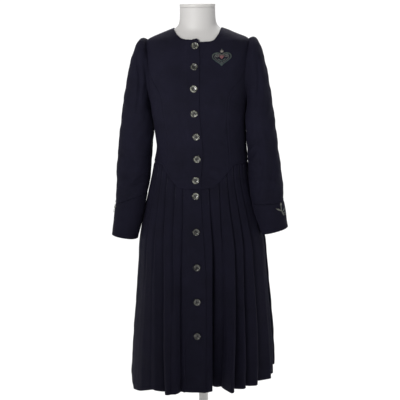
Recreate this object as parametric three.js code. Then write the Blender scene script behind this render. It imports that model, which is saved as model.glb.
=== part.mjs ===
// A front-buttoned dirndl coat dress with long sleeves, on a limbless dress form.
// Millimetres, +Z up, the front faces -Y, the floor is z = 0 and the form's axis is the Z axis.
// Angles on the garment are in degrees from the centre front, towards either side, up to 180
// at the centre back. side = +1 is the wearer's left (+X), side = -1 the wearer's right (-X).
import * as THREE from 'three';

// ---------------------------------------------------------------- driving dimensions
const CLOTH = 1.6;               // wall of the bodice, sleeves and cuffs
const SKIRT_CLOTH = 1.5;         // wall of the pleated skirt
const SEAM_GAP = 0.3;            // between two pieces at a seam
const WAIST_GAP = 1.2;           // between the bodice and the top of the pleats
const LAP_GAP = 1.0;             // between the two fronts where they overlap
const NECK_LAP_GAP = 1.5;        // and at the neckline, where they curve back
const NECK_LAP_LEVEL = 1385;     // from this height up, over the next 25
const SKIRT_LAP_GAP = 0.9;
const LAP = 16;                  // the upper front runs this far past the centre
const SKIRT_LAP = 31;            // and this far from half way down the skirt
const UNDERLAP = 14;             // the lower front runs this far past the centre
const LAP_EASE = { from: 21, length: 16 };   // where the upper front comes down to the body
const SKIRT_LAP_FLAT = 18;
const SKIRT_LAP_END = { top: 28, low: 36 };
const SHOULDER_TIP = 1415;       // heights
const ARMPIT = 1218;
const PLEAT_STACK = 2.3;         // from one layer of a pressed pleat to the next
const UNDERFOLD = 0.62;          // of a pleat's face, hidden behind it
const BUTTON_RADIUS = 11;
const BUTTON_HEIGHTS = [1398, 1336, 1271, 1197, 1124, 1053, 988, 940, 832, 723, 616, 509];
const POLE_RADIUS = 15;
const FOOT_RADIUS = 30;
const BASE_RADIUS = 185;
const BASE_HEIGHT = 14;
const FORM_BOTTOM = 805;
const NECK_CUT = 1515;
const NECK_TOP = 1524;

// Outer surface of the dress: level, half width, depth in front of and behind the axis,
// and how square the section is (2 is an ellipse).
const DRESS_SECTIONS = [
  { z: 1452, width: 74, front: 50, back: 62, square: 2.0 },
  { z: 1437, width: 112, front: 58.5, back: 74, square: 2.0 },
  { z: 1423, width: 146, front: 66, back: 86, square: 2.05 },
  { z: 1415, width: 159, front: 70, back: 92, square: 2.1 },
  { z: 1405, width: 164, front: 74.5, back: 97, square: 2.15 },
  { z: 1385, width: 165.5, front: 83, back: 104, square: 2.2 },
  { z: 1350, width: 164, front: 97, back: 110, square: 2.25 },
  { z: 1310, width: 161, front: 110, back: 112, square: 2.3 },
  { z: 1270, width: 157, front: 121, back: 111, square: 2.3 },
  { z: 1230, width: 153, front: 126, back: 108, square: 2.3 },
  { z: 1190, width: 149, front: 122, back: 104, square: 2.25 },
  { z: 1150, width: 145.5, front: 113, back: 99, square: 2.2 },
  { z: 1110, width: 143.5, front: 106, back: 95.5, square: 2.2 },
  { z: 1080, width: 143, front: 104, back: 95, square: 2.2 },
  { z: 1050, width: 146, front: 106, back: 98, square: 2.2 },
  { z: 1020, width: 150.5, front: 110, back: 104, square: 2.15 },
  { z: 990, width: 155, front: 115, back: 111, square: 2.1 },
  { z: 960, width: 161, front: 120, back: 119, square: 2.1 },
  { z: 920, width: 170.5, front: 129, back: 130, square: 2.05 },
  { z: 880, width: 180.5, front: 138, back: 141, square: 2.0 },
  { z: 830, width: 191.5, front: 149, back: 151, square: 2.0 },
  { z: 777, width: 200, front: 157, back: 160, square: 2.0 },
  { z: 700, width: 204.5, front: 166, back: 169, square: 2.0 },
  { z: 620, width: 209.5, front: 173, back: 176, square: 2.0 },
  { z: 540, width: 215, front: 180, back: 182, square: 2.0 },
  { z: 480, width: 218.5, front: 185, back: 187, square: 2.0 },
  { z: 435, width: 221, front: 189, back: 191, square: 2.0 },
  { z: 390, width: 222, front: 192, back: 194, square: 2.0 },
  { z: 285, width: 224, front: 198, back: 200, square: 2.0 },
];

// How far the dress, and the form in it, lean to the wearer's left at each level.
const SWAY = [
  { z: 1184, by: 0 }, { z: 1130, by: 3 }, { z: 1077, by: 6 }, { z: 1024, by: 3 },
  { z: 970, by: 0.5 }, { z: 880, by: 2.5 }, { z: 777, by: 5.5 }, { z: 620, by: 6.4 },
  { z: 480, by: 5.9 }, { z: 285, by: 3 },
];

// Hips of the dress form, below the waist, where it has its own shape.
const HIP_SECTIONS = [
  { z: 1050, width: 137, front: 97, back: 89, square: 2.2 },
  { z: 1020, width: 140, front: 100, back: 94, square: 2.15 },
  { z: 985, width: 144, front: 103, back: 100, square: 2.1 },
  { z: 940, width: 150, front: 107, back: 108, square: 2.1 },
  { z: 890, width: 153, front: 110, back: 113, square: 2.1 },
  { z: 845, width: 150, front: 108, back: 111, square: 2.1 },
  { z: 820, width: 143, front: 102, back: 105, square: 2.1 },
  { z: 805, width: 128, front: 90, back: 92, square: 2.1 },
];

// Neck of the dress form, above the shoulders.
const NECK_SECTIONS = [
  { z: 1452, width: 68, front: 46.5, back: 57.5, square: 2.0 },
  { z: 1462, width: 60, front: 46, back: 56, square: 2.0 },
  { z: 1480, width: 56, front: 46, back: 55, square: 2.0 },
  { z: 1515, width: 55, front: 46, back: 55, square: 2.0 },
  { z: 1524, width: 54.5, front: 45.5, back: 54.5, square: 2.0 },
];

// The waist seam, straight between these points: low and level at the centre front, up to
// the hips' level at the sides and down again to a shallow point at the centre back.
const WAIST_SEAM = [
  { angle: 0, z: 960 }, { angle: 20, z: 965 }, { angle: 46, z: 1027 }, { angle: 52, z: 1032 },
  { angle: 104, z: 1032 }, { angle: 180, z: 1012 },
];
// Height of the hem round each half: it dips at the corner of the wearer's right front and
// rises over the hips.
const HEM_LINE = [
  { angle: 0, right: 330, left: 330 }, { angle: 12.5, right: 328, left: 330 },
  { angle: 24.5, right: 320, left: 331 }, { angle: 38, right: 324, left: 333 },
  { angle: 52, right: 308, left: 335 }, { angle: 66, right: 298, left: 338 },
  { angle: 72, right: 328, left: 340 }, { angle: 80, right: 350, left: 342 },
  { angle: 100, right: 350, left: 352 }, { angle: 116, right: 343, left: 344 },
  { angle: 135, right: 335, left: 336 }, { angle: 180, right: 330, left: 330 },
];
// Upright edges of each bodice panel's strips, as angles along the waist seam.
const LAP_EDGE = -5.6;
const PANEL_STRIPS = {
  front: [LAP_EDGE, 1, 8, 14, 20, 27, 33.5, 40],
  front_side: [40, 46, 52, 70, 90],
  back_side: [90, 104, 116, 129, 142],
  back: [180, 171, 161, 152, 142],
};

// Neckline and the panel seams, as the angle at which each crosses a level.
const NECKLINE_FRONT = [
  { z: 1415, right: 0, left: 19 }, { z: 1418, right: 10, left: 21.5 },
  { z: 1423, right: 18, left: 24.8 }, { z: 1430, right: 25, left: 31 },
  { z: 1437, right: 34, left: 39.5 }, { z: 1441, right: 40, left: 45.5 },
  { z: 1445, right: 48, left: 52.5 }, { z: 1449, right: 62, left: 65 },
  { z: 1452, right: 90, left: 90 },
];
const NECKLINE_BACK = [
  { z: 1437, angle: 180 }, { z: 1441, angle: 158 }, { z: 1445, angle: 137 }, { z: 1449, angle: 114 },
  { z: 1452, angle: 90 },
];
const PRINCESS_FRONT = [
  { z: 950, angle: 40 }, { z: 1190, angle: 39 }, { z: 1224, angle: 38.8 }, { z: 1241, angle: 39.6 },
  { z: 1267, angle: 44 }, { z: 1299, angle: 57 }, { z: 1334, angle: 67 },
];
const PRINCESS_BACK = [
  { z: 950, angle: 142 }, { z: 1190, angle: 141 }, { z: 1241, angle: 139 }, { z: 1267, angle: 134 },
  { z: 1299, angle: 124 }, { z: 1334, angle: 111 },
];

// Sleeve sections from the head down: the outer and the inner end of each section, the
// shift towards the front, half the depth, and the share of the cuff's own slant.
const SLEEVE_SECTIONS = [
  { outX: 169, outZ: 1420, inX: 155.5, inZ: 1216, shift: 0, depth: 47, slant: 0 },
  { outX: 179, outZ: 1418.5, inX: 156.5, inZ: 1208, shift: 0, depth: 50, slant: 0 },
  { outX: 189, outZ: 1407, inX: 154, inZ: 1201, shift: 0, depth: 52, slant: 0 },
  { outX: 197.5, outZ: 1387, inX: 151, inZ: 1194, shift: 0, depth: 54, slant: 0 },
  { outX: 207, outZ: 1356, inX: 148, inZ: 1186, shift: -1, depth: 55, slant: 0 },
  { outX: 217, outZ: 1312, inX: 145, inZ: 1177, shift: -2, depth: 56, slant: 0 },
  { outX: 226, outZ: 1262, inX: 143, inZ: 1164, shift: -3, depth: 56, slant: 0 },
  { outX: 234, outZ: 1212, inX: 143, inZ: 1147, shift: -4, depth: 56, slant: 0 },
  { outX: 241, outZ: 1162, inX: 145, inZ: 1122, shift: -5, depth: 55, slant: 0 },
  { outX: 248, outZ: 1109, inX: 149, inZ: 1090, shift: -6, depth: 54, slant: 0 },
  { outX: 253.5, outZ: 1062, inX: 152.5, inZ: 1054, shift: -9, depth: 53, slant: 0 },
  { outX: 259.5, outZ: 1014, inX: 155, inZ: 1012, shift: -14, depth: 52, slant: 0.1 },
  { outX: 262.5, outZ: 968, inX: 157, inZ: 974, shift: -21, depth: 50, slant: 0.4 },
  { outX: 264.5, outZ: 932, inX: 161, inZ: 942, shift: -28, depth: 47.5, slant: 0.8 },
  { outX: 265.5, outZ: 906, inX: 166, inZ: 919, shift: -33, depth: 45.5, slant: 1 },
];
const CUFF_SECTIONS = [
  { outX: 266, outZ: 905.2, inX: 165.5, inZ: 918.2, shift: -33, depth: 46.5, slant: 1 },
  { outX: 271, outZ: 872, inX: 174, inZ: 876, shift: -36, depth: 45.5, slant: 0.6, hem: 0.35 },
  { outX: 275, outZ: 838, inX: 185, inZ: 834, shift: -39, depth: 44.5, slant: 0.3, hem: 0.7 },
  { outX: 279, outZ: 803, inX: 199, inZ: 790, shift: -42, depth: 43.5, slant: 0, hem: 1 },
];
// How far each end of the cuff's seam and hem is raised.
const CUFF_SLANT = {
  1: { seamIn: -15, seamOut: 5, hemIn: 18, hemOut: 27 },
  '-1': { seamIn: 17, seamOut: -5, hemIn: -1, hemOut: 0 },
};
// How much further out than the table the outer end of each sleeve runs, by level.
const SLEEVE_FULLNESS = [
  { z: 1421, right: 1, left: 0 }, { z: 1390, right: 3.5, left: 0.5 },
  { z: 1300, right: 6.5, left: 0 }, { z: 1200, right: 8, left: -2 },
  { z: 1080, right: 8, left: -2 }, { z: 1030, right: 6.5, left: -1.5 },
  { z: 970, right: 3.5, left: 1.5 }, { z: 880, right: 2.5, left: 2 }, { z: 760, right: 2, left: 1.5 },
];
const SLEEVE_SQUARE = 2.25;
// The sleeves stay this far off the dress's side, and further off the pleats that stand out.
const SLEEVE_CLEARANCE = [
  { z: 1420, off: 2.4 }, { z: 1000, off: 2.4 }, { z: 940, off: 3.2 }, { z: 870, off: 4.8 },
  { z: 760, off: 9.5 },
];

// Knife pleats, all folded away from the centre: the angle of each folded edge at the waist
// seam and at the hem, how far it stands out at the hem and how far the cloth drops behind it.
// A pleat with hardly any drop has opened by then, and its two faces hang as one.
const FRONT_PLEATS = {
  '-1': [
    { top: 13, hem: 12.5, ridge: 4, drop: 3 }, { top: 23, hem: 18, ridge: 22, drop: 2 },
    { top: 36, hem: 24.5, ridge: 27, drop: 41 }, { top: 46, hem: 38, ridge: 14, drop: 3 },
    { top: 57, hem: 52, ridge: 22, drop: 3 }, { top: 69, hem: 66, ridge: 20, drop: 4 },
    { top: 82, hem: 80, ridge: 18, drop: 34 },
  ],
  1: [
    { top: 13.5, hem: 12.5, ridge: -3, drop: 54 }, { top: 25, hem: 20.5, ridge: -42, drop: 2 },
    { top: 36, hem: 28.5, ridge: 28, drop: 48 }, { top: 46, hem: 40.5, ridge: 12, drop: 36 },
    { top: 57, hem: 53, ridge: 15, drop: 38 }, { top: 69, hem: 72, ridge: 17, drop: 20 },
    { top: 82, hem: 84, ridge: 8, drop: 24 },
  ],
};
const BACK_PLEATS = {
  '-1': [
    { top: 14, hem: 13, ridge: 9, drop: 23 }, { top: 26, hem: 23, ridge: 10, drop: 3 },
    { top: 37, hem: 33, ridge: 15, drop: 29 }, { top: 48, hem: 46, ridge: 8, drop: 24 },
    { top: 60, hem: 57, ridge: 13, drop: 4 }, { top: 72, hem: 70, ridge: 20, drop: 37 },
    { top: 83, hem: 82, ridge: 20, drop: 36 },
  ],
  1: [
    { top: 14, hem: 14, ridge: 12, drop: 28 }, { top: 25, hem: 27, ridge: 8, drop: 23 },
    { top: 37, hem: 36, ridge: 11, drop: 4 }, { top: 49, hem: 46, ridge: 17, drop: 32 },
    { top: 60, hem: 58, ridge: 13, drop: 5 }, { top: 71, hem: 69, ridge: 18, drop: 32 },
    { top: 83, hem: 81, ridge: 12, drop: 28 },
  ],
};
const SKIRT_SEAM_GAP = 0.5;
const SKIRT_ROWS = [0, 0.055, 0.15, 0.29, 0.46, 0.64, 0.83, 1];   // from the waist seam to the hem

// ---------------------------------------------------------------- finishes
const finish = (color, roughness, metalness = 0) =>
  new THREE.MeshStandardMaterial({ color, roughness, metalness });
const navyCloth = finish(0x1b1b27, 0.9);
const smokyPearl = finish(0x4a4d48, 0.35);
const formWhite = finish(0xe9e8e4, 0.55);
const standPaint = finish(0xdedcd6, 0.4, 0.1);

// ---------------------------------------------------------------- small helpers
const clamp01 = (t) => Math.min(1, Math.max(0, t));
const mix = (a, b, t) => a + (b - a) * t;
const smooth = (t) => clamp01(t) ** 2 * (3 - 2 * clamp01(t));
const radians = THREE.MathUtils.degToRad;
const degrees = THREE.MathUtils.radToDeg;
const signedPower = (value, power) => Math.sign(value) * Math.abs(value) ** power;

// Value of one column of a table at a level, as a smooth curve through the rows.
function alongTable(table, column, z) {
  const rows = table[0].z < table[table.length - 1].z ? table : [...table].reverse();
  let i = 0;
  while (i < rows.length - 2 && rows[i + 1].z < z) i += 1;
  const slope = (k) => {
    const a = rows[Math.max(k - 1, 0)];
    const b = rows[Math.min(k + 1, rows.length - 1)];
    return (b[column] - a[column]) / (b.z - a.z);
  };
  const span = rows[i + 1].z - rows[i].z;
  const t = clamp01((z - rows[i].z) / span);
  const rise = t * t * (3 - 2 * t);
  return mix(rows[i][column], rows[i + 1][column], rise)
    + span * (slope(i) * t * (1 - t) ** 2 - slope(i + 1) * t * t * (1 - t));
}

// The same along straight lines, against any column that rises down the table.
function straightTable(table, column, value, by = 'z') {
  let i = 0;
  while (i < table.length - 2 && table[i + 1][by] < value) i += 1;
  const t = clamp01((value - table[i][by]) / (table[i + 1][by] - table[i][by]));
  return mix(table[i][column], table[i + 1][column], t);
}

// Point of a body of stacked sections, at an angle from the centre front.
function sectionPoint(table, angle, z) {
  const power = 2 / alongTable(table, 'square', z);
  const s = Math.sin(radians(angle));
  const c = Math.cos(radians(angle));
  const depth = alongTable(table, c > 0 ? 'front' : 'back', z);
  return new THREE.Vector3(
    alongTable(table, 'width', z) * signedPower(s, power), -depth * signedPower(c, power), z);
}

// Outward normal there, from small steps round and up the surface.
function sectionNormal(table, angle, z) {
  const levels = table.map((row) => row.z);
  const low = Math.max(z - 1.5, Math.min(...levels));
  const high = Math.min(z + 1.5, Math.max(...levels));
  const round = sectionPoint(table, angle + 0.6, z).sub(sectionPoint(table, angle - 0.6, z));
  const up = sectionPoint(table, angle, high).sub(sectionPoint(table, angle, low));
  return round.cross(up).normalize();
}

const dressPoint = (angle, z) => sectionPoint(DRESS_SECTIONS, angle, z);
const dressNormal = (angle, z) => sectionNormal(DRESS_SECTIONS, angle, z);

// Angle at which the dress, near its centre front, is x away from the centre.
function angleAt(x, z) {
  const power = alongTable(DRESS_SECTIONS, 'square', z) / 2;
  const share = Math.abs(x) / alongTable(DRESS_SECTIONS, 'width', z);
  return Math.sign(x) * degrees(Math.asin(share ** power));
}

// Half width of the dress at a level, at a distance y in front of or behind its axis.
function dressHalfWidth(y, z) {
  const square = alongTable(DRESS_SECTIONS, 'square', z);
  const depth = alongTable(DRESS_SECTIONS, y < 0 ? 'front' : 'back', z);
  const share = Math.min(1, Math.abs(y) / depth);
  return alongTable(DRESS_SECTIONS, 'width', z) * (1 - share ** square) ** (1 / square);
}

const sway = (z) => alongTable(SWAY, 'by', z);

// The small turn of the angle that moves a point of the dress by a distance round it.
function turnFor(distance, angle, z) {
  return distance / dressPoint(angle + 0.5, z).distanceTo(dressPoint(angle - 0.5, z));
}

// One closed solid from triangles; equal corners are shared, flat ones dropped, and the
// faces turned outwards if the solid came out inside out.
function solidFrom(triangles) {
  const index = new Map();
  const position = [];
  const corner = (p) => {
    const key = [p.x, p.y, p.z].map((v) => Math.round(v * 2000)).join();
    if (!index.has(key)) {
      index.set(key, position.length / 3);
      position.push(p.x, p.y, p.z);
    }
    return index.get(key);
  };
  const faces = [];
  let volume = 0;
  for (const [a, b, c] of triangles) {
    const [i, j, k] = [corner(a), corner(b), corner(c)];
    if (i === j || j === k || k === i) continue;
    faces.push([i, j, k]);
    volume += a.dot(b.clone().cross(c));
  }
  const geometry = new THREE.BufferGeometry();
  geometry.setAttribute('position', new THREE.Float32BufferAttribute(position, 3));
  geometry.setIndex(faces.flatMap((f) => (volume > 0 ? f : [f[0], f[2], f[1]])));
  geometry.computeVertexNormals();
  return geometry;
}

// A wall of cloth between an outer and an inner grid of points (rows of columns), closed at
// its edges; round joins the last column to the first.
function wall(outer, inner, round = false) {
  const triangles = [];
  const quad = (a, b, c, d) => triangles.push([a, b, c], [a, c, d]);
  const rows = outer.length;
  const columns = outer[0].length;
  const next = (j) => (j + 1) % columns;
  const spans = round ? columns : columns - 1;
  for (let i = 0; i < rows - 1; i += 1) {
    for (let j = 0; j < spans; j += 1) {
      quad(outer[i][j], outer[i][next(j)], outer[i + 1][next(j)], outer[i + 1][j]);
      quad(inner[i][j], inner[i + 1][j], inner[i + 1][next(j)], inner[i][next(j)]);
    }
  }
  for (let j = 0; j < spans; j += 1) {
    quad(outer[0][j], inner[0][j], inner[0][next(j)], outer[0][next(j)]);
    const [o, n] = [outer[rows - 1], inner[rows - 1]];
    quad(o[j], o[next(j)], n[next(j)], n[j]);
  }
  if (!round) {
    const last = columns - 1;
    for (let i = 0; i < rows - 1; i += 1) {
      quad(outer[i][0], outer[i + 1][0], inner[i + 1][0], inner[i][0]);
      quad(outer[i][last], inner[i][last], inner[i + 1][last], outer[i + 1][last]);
    }
  }
  return solidFrom(triangles);
}

// A solid through closed rings, capped flat at both ends.
function stackedSolid(rings) {
  const triangles = [];
  const count = rings[0].length;
  const centre = (ring) => ring.reduce((sum, p) => sum.add(p), new THREE.Vector3())
    .divideScalar(count);
  rings.forEach((ring, i) => {
    if (i === rings.length - 1) return;
    ring.forEach((p, j) => {
      const [q, r, s] = [ring[(j + 1) % count], rings[i + 1][(j + 1) % count], rings[i + 1][j]];
      triangles.push([p, q, r], [p, r, s]);
    });
  });
  for (const [ring, flip] of [[rings[0], true], [rings[rings.length - 1], false]]) {
    const middle = centre(ring);
    ring.forEach((p, j) => {
      const q = ring[(j + 1) % count];
      triangles.push(flip ? [middle, q, p] : [middle, p, q]);
    });
  }
  return solidFrom(triangles);
}

const part = new THREE.Group();
function add(name, geometry, material) {
  const mesh = new THREE.Mesh(geometry, material);
  mesh.name = name;
  part.add(mesh);
  return mesh;
}
const sideName = (side) => (side > 0 ? 'left' : 'right');

// ---------------------------------------------------------------- seams of the dress
const waistSeam = (angle) => straightTable(WAIST_SEAM, 'z', Math.abs(angle), 'angle');

// The armhole is an oval round the side of the dress, from the shoulder tip (turn 0) by the
// front to the armpit (turn 180) and up the back.
const ARMHOLE_STEP = 20;
const ARMHOLE_MIDDLE = (SHOULDER_TIP + ARMPIT) / 2;
const ARMHOLE_HALF = (SHOULDER_TIP - ARMPIT) / 2;
const ARMHOLE_FRONT = 23;        // degrees that it reaches forward of the side, and back
const ARMHOLE_BACK = 21;
const ARMHOLE_FULLNESS = 0.85;   // under 1 makes the oval fuller than an ellipse
function armhole(turn) {
  const reach = Math.abs(Math.sin(radians(turn))) ** ARMHOLE_FULLNESS;
  const forward = turn % 360 < 180;
  return {
    angle: 90 - reach * (forward ? ARMHOLE_FRONT : -ARMHOLE_BACK),
    z: ARMHOLE_MIDDLE + ARMHOLE_HALF * Math.cos(radians(turn)),
  };
}

// Levels shared by all panels, so that their edges run side by side.
const LOW_ROWS = [0, 0.5, 1];                // shares of the way from the waist seam up
const LOW_TOP = 1058;
const MIDDLE_ROWS = [1088, 1120, 1155, 1188];
const ARMHOLE_ROWS = [];
for (let turn = 180; turn >= 0; turn -= ARMHOLE_STEP) ARMHOLE_ROWS.push(armhole(turn));
const PRINCESS_TOP_ROW = 5;                  // the armhole row where the princess seams end
const PRINCESS_TOP_GAP = 0.6;                // turn of the armhole left between panels there
const UPPER_ROWS = NECKLINE_FRONT.slice(1);

// The armhole's edge at one of its rows, on the front or the back; drop moves it down the edge.
function armholeEdge(row, back, drop = 0) {
  const turn = row * ARMHOLE_STEP - drop;
  return armhole(back ? 180 + turn : 180 - turn);
}

// Every level of a panel, with the angles of its centre edge and its side edge there. The
// lowest levels follow the waist seam and have a share of the way up instead of a height.
function bodiceLevels(kind, side) {
  const back = kind === 'back' || kind === 'back_side';
  const half = SEAM_GAP / 2;
  const princess = (z) => straightTable(back ? PRINCESS_BACK : PRINCESS_FRONT, 'angle', z);
  const outward = back ? -1 : 1;             // from the centre towards the side
  const levels = [];
  const push = (z, centreEdge, sideEdge, low) => {
    const level = z ?? LOW_TOP;
    const gapTurn = (angle) => turnFor(half, angle, level);
    const [centreAngle, sideAngle] = [centreEdge(level, gapTurn), sideEdge(level, gapTurn)];
    levels.push({ z, low, centreAngle, sideAngle });
  };
  const atPrincess = (sign) => (z, gap) => princess(z) + sign * outward * gap(princess(z));
  const atSide = (z, gap) => 90 - outward * gap(90);
  const isCentre = kind === 'front' || kind === 'back';
  const neckFront = (z) => straightTable(NECKLINE_FRONT, side > 0 ? 'left' : 'right', z);
  const centre = isCentre ? (z, gap) => (back ? 180 - gap(180) : neckFront(z)) : atPrincess(1);
  const outerEdge = isCentre ? atPrincess(-1) : atSide;
  LOW_ROWS.forEach((share) => push(null, centre, outerEdge, share));
  MIDDLE_ROWS.forEach((z) => push(z, centre, outerEdge));
  ARMHOLE_ROWS.forEach(({ z }, row) => {
    const rim = () => armholeEdge(row, back).angle;
    const top = row === ARMHOLE_ROWS.length - 1;
    if (isCentre) push(z, centre, row < PRINCESS_TOP_ROW ? outerEdge : (top ? atSide : rim));
    else if (row < PRINCESS_TOP_ROW) push(z, centre, row === 0 ? atSide : rim);
    else if (row === PRINCESS_TOP_ROW) {
      const apex = armholeEdge(row, back, PRINCESS_TOP_GAP);
      push(apex.z, () => apex.angle, () => apex.angle);
    }
  });
  if (isCentre) {
    UPPER_ROWS.forEach(({ z }) => {
      const neckline = back ? straightTable(NECKLINE_BACK, 'angle', z) : neckFront(z);
      const limit = (level, gap) => (back
        ? Math.max(Math.min(neckline, 180 - gap(180)), atSide(level, gap))
        : Math.min(neckline, atSide(level, gap)));
      push(z, limit, atSide);
    });
  }
  return levels;
}

// The upper front lies on the lower one and eases down to the common surface beyond it.
const lapLift = (x, rise) => rise * (1 - smooth((x - LAP_EASE.from) / LAP_EASE.length));

function bodicePanel(kind, side) {
  const upper = kind === 'front' && side < 0;
  const strips = PANEL_STRIPS[kind];
  const first = strips[kind === 'back_side' ? strips.length - 1 : 0];
  const last = strips[kind === 'back_side' ? 0 : strips.length - 1];
  const shares = strips.map((angle) => (angle - first) / (last - first));
  const outer = [];
  const inner = [];
  const lapTop = upper ? SHOULDER_TIP : SHOULDER_TIP - 1;   // the lower front is cut lower
  for (const level of bodiceLevels(kind, side)) {
    const past = kind === 'front' && !(level.z > lapTop);
    const start = past ? -angleAt(upper ? LAP : UNDERLAP, level.z ?? LOW_TOP) : level.centreAngle;
    const rowOuter = [];
    const rowInner = [];
    for (const share of shares) {
      const angle = mix(start, level.sideAngle, share);
      const z = level.z ?? mix(waistSeam(angle) + WAIST_GAP / 2, LOW_TOP, level.low);
      const normal = dressNormal(angle, z);
      const point = dressPoint(angle, z);
      const lapGap = mix(LAP_GAP, NECK_LAP_GAP, smooth((z - NECK_LAP_LEVEL) / 25));
      if (upper) point.addScaledVector(normal, lapLift(point.x, CLOTH + lapGap));
      const under = point.clone().addScaledVector(normal, -CLOTH);
      for (const p of [point, under]) p.x = p.x * side + sway(p.z);
      rowOuter.push(point);
      rowInner.push(under);
    }
    outer.push(rowOuter);
    inner.push(rowInner);
  }
  return wall(outer, inner);
}

const laps = {};                             // the cloth that the buttons lie on
for (const side of [-1, 1]) {
  const name = sideName(side);
  const front = add(`bodice_front_${name}`, bodicePanel('front', side), navyCloth);
  if (side < 0) laps.bodice = front;
  add(`bodice_side_front_${name}`, bodicePanel('front_side', side), navyCloth);
  add(`bodice_side_back_${name}`, bodicePanel('back_side', side), navyCloth);
  add(`bodice_back_${name}`, bodicePanel('back', side), navyCloth);
}

// ---------------------------------------------------------------- sleeves and cuffs
// The sleeve's end stands on the dress round the armhole, half a wall to each side of its
// edge and a seam's gap above the cloth.
function sleeveRoot(side) {
  const outer = [];
  const inner = [];
  for (let turn = 0; turn < 360; turn += ARMHOLE_STEP) {
    const at = armhole(turn);
    const before = armhole(turn - 3 + 360);
    const after = armhole(turn + 3);
    const edge = dressPoint(after.angle, after.z).sub(dressPoint(before.angle, before.z));
    const normal = dressNormal(at.angle, at.z);
    const out = edge.cross(normal).normalize();
    const centre = dressPoint(at.angle, at.z).addScaledVector(normal, SEAM_GAP);
    const away = centre.clone().sub(new THREE.Vector3(centre.x, 0, ARMHOLE_MIDDLE));
    if (out.dot(away) < 0) out.negate();
    outer.push(centre.clone().addScaledVector(out, CLOTH / 2));
    inner.push(centre.clone().addScaledVector(out, -CLOTH / 2));
  }
  for (const p of [...outer, ...inner]) p.x *= side;
  return { outer, inner };
}

// Outer points of one section: an oval from its outer end over the front to its inner end,
// pushed off the side of the dress wherever it would sink into it.
function sleeveRing(section, side) {
  const { seamIn, seamOut, hemIn, hemOut } = CUFF_SLANT[side];
  const hem = section.hem ?? 0;
  const full = alongTable(SLEEVE_FULLNESS, side > 0 ? 'left' : 'right', section.outZ);
  const end = new THREE.Vector3(
    section.outX + full, 0, section.outZ + section.slant * seamOut + hem * hemOut);
  const start = new THREE.Vector3(
    section.inX, 0, section.inZ + section.slant * seamIn + hem * hemIn);
  const middle = start.clone().add(end).multiplyScalar(0.5);
  const half = end.clone().sub(start).multiplyScalar(0.5);
  const ring = [];
  for (let turn = 0; turn < 360; turn += ARMHOLE_STEP) {
    const across = signedPower(Math.cos(radians(turn)), 2 / SLEEVE_SQUARE);
    const forward = signedPower(Math.sin(radians(turn)), 2 / SLEEVE_SQUARE);
    const point = middle.clone().addScaledVector(half, across);
    point.y = section.shift - section.depth * forward;
    const clearance = alongTable(SLEEVE_CLEARANCE, 'off', point.z) + side * sway(point.z);
    point.x = Math.max(point.x, dressHalfWidth(point.y, point.z) + clearance);
    point.x *= side;
    ring.push(point);
  }
  return ring;
}

// The tube's inner points, one wall inside the outer ones along the tube's own normals.
function innerRings(rings) {
  return rings.map((ring, i) => ring.map((point, j) => {
    const up = rings[Math.max(i - 1, 0)][j];
    const down = rings[Math.min(i + 1, rings.length - 1)][j];
    const count = ring.length;
    const round = ring[(j + 1) % count].clone().sub(ring[(j + count - 1) % count]);
    const normal = round.cross(down.clone().sub(up)).normalize();
    const middle = ring.reduce((sum, p) => sum.add(p), new THREE.Vector3()).divideScalar(count);
    if (normal.dot(point.clone().sub(middle)) < 0) normal.negate();
    return point.clone().addScaledVector(normal, -CLOTH);
  }));
}

for (const side of [-1, 1]) {
  const root = sleeveRoot(side);
  const rings = [root.outer, ...SLEEVE_SECTIONS.map((section) => sleeveRing(section, side))];
  const inner = innerRings(rings);
  inner[0] = root.inner;
  add(`sleeve_${sideName(side)}`, wall(rings, inner, true), navyCloth);
  const cuff = CUFF_SECTIONS.map((section) => sleeveRing(section, side));
  add(`cuff_${sideName(side)}`, wall(cuff, innerRings(cuff), true), navyCloth);
}

// ---------------------------------------------------------------- pleated skirt
const hemHeight = (angle, side) =>
  straightTable(HEM_LINE, sideName(side), Math.abs(angle), 'angle');

// Corners of the waist seam that lie on a pleat's face need a point of the skirt there.
const SEAM_KNOTS = [20, 52];
const MAX_UNDERFOLD = 13;        // degrees; a wide gap between pleats hides no more cloth
const FACE_START = { shut: 0.6, open: 1.2 };   // degrees from a fold to the next face's start
const FACE_RISE = { share: 0.3, height: 0.4 }; // how soon and how far a face climbs at first
const SIDE_SEAM_DEPTH = 16;      // the side seams lie this deep at the hem

// How far the pleats have opened at a share of the way down: pressed flat at the top.
const openness = (share) => clamp01((share - 0.05) / 0.95) ** 1.2;

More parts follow.
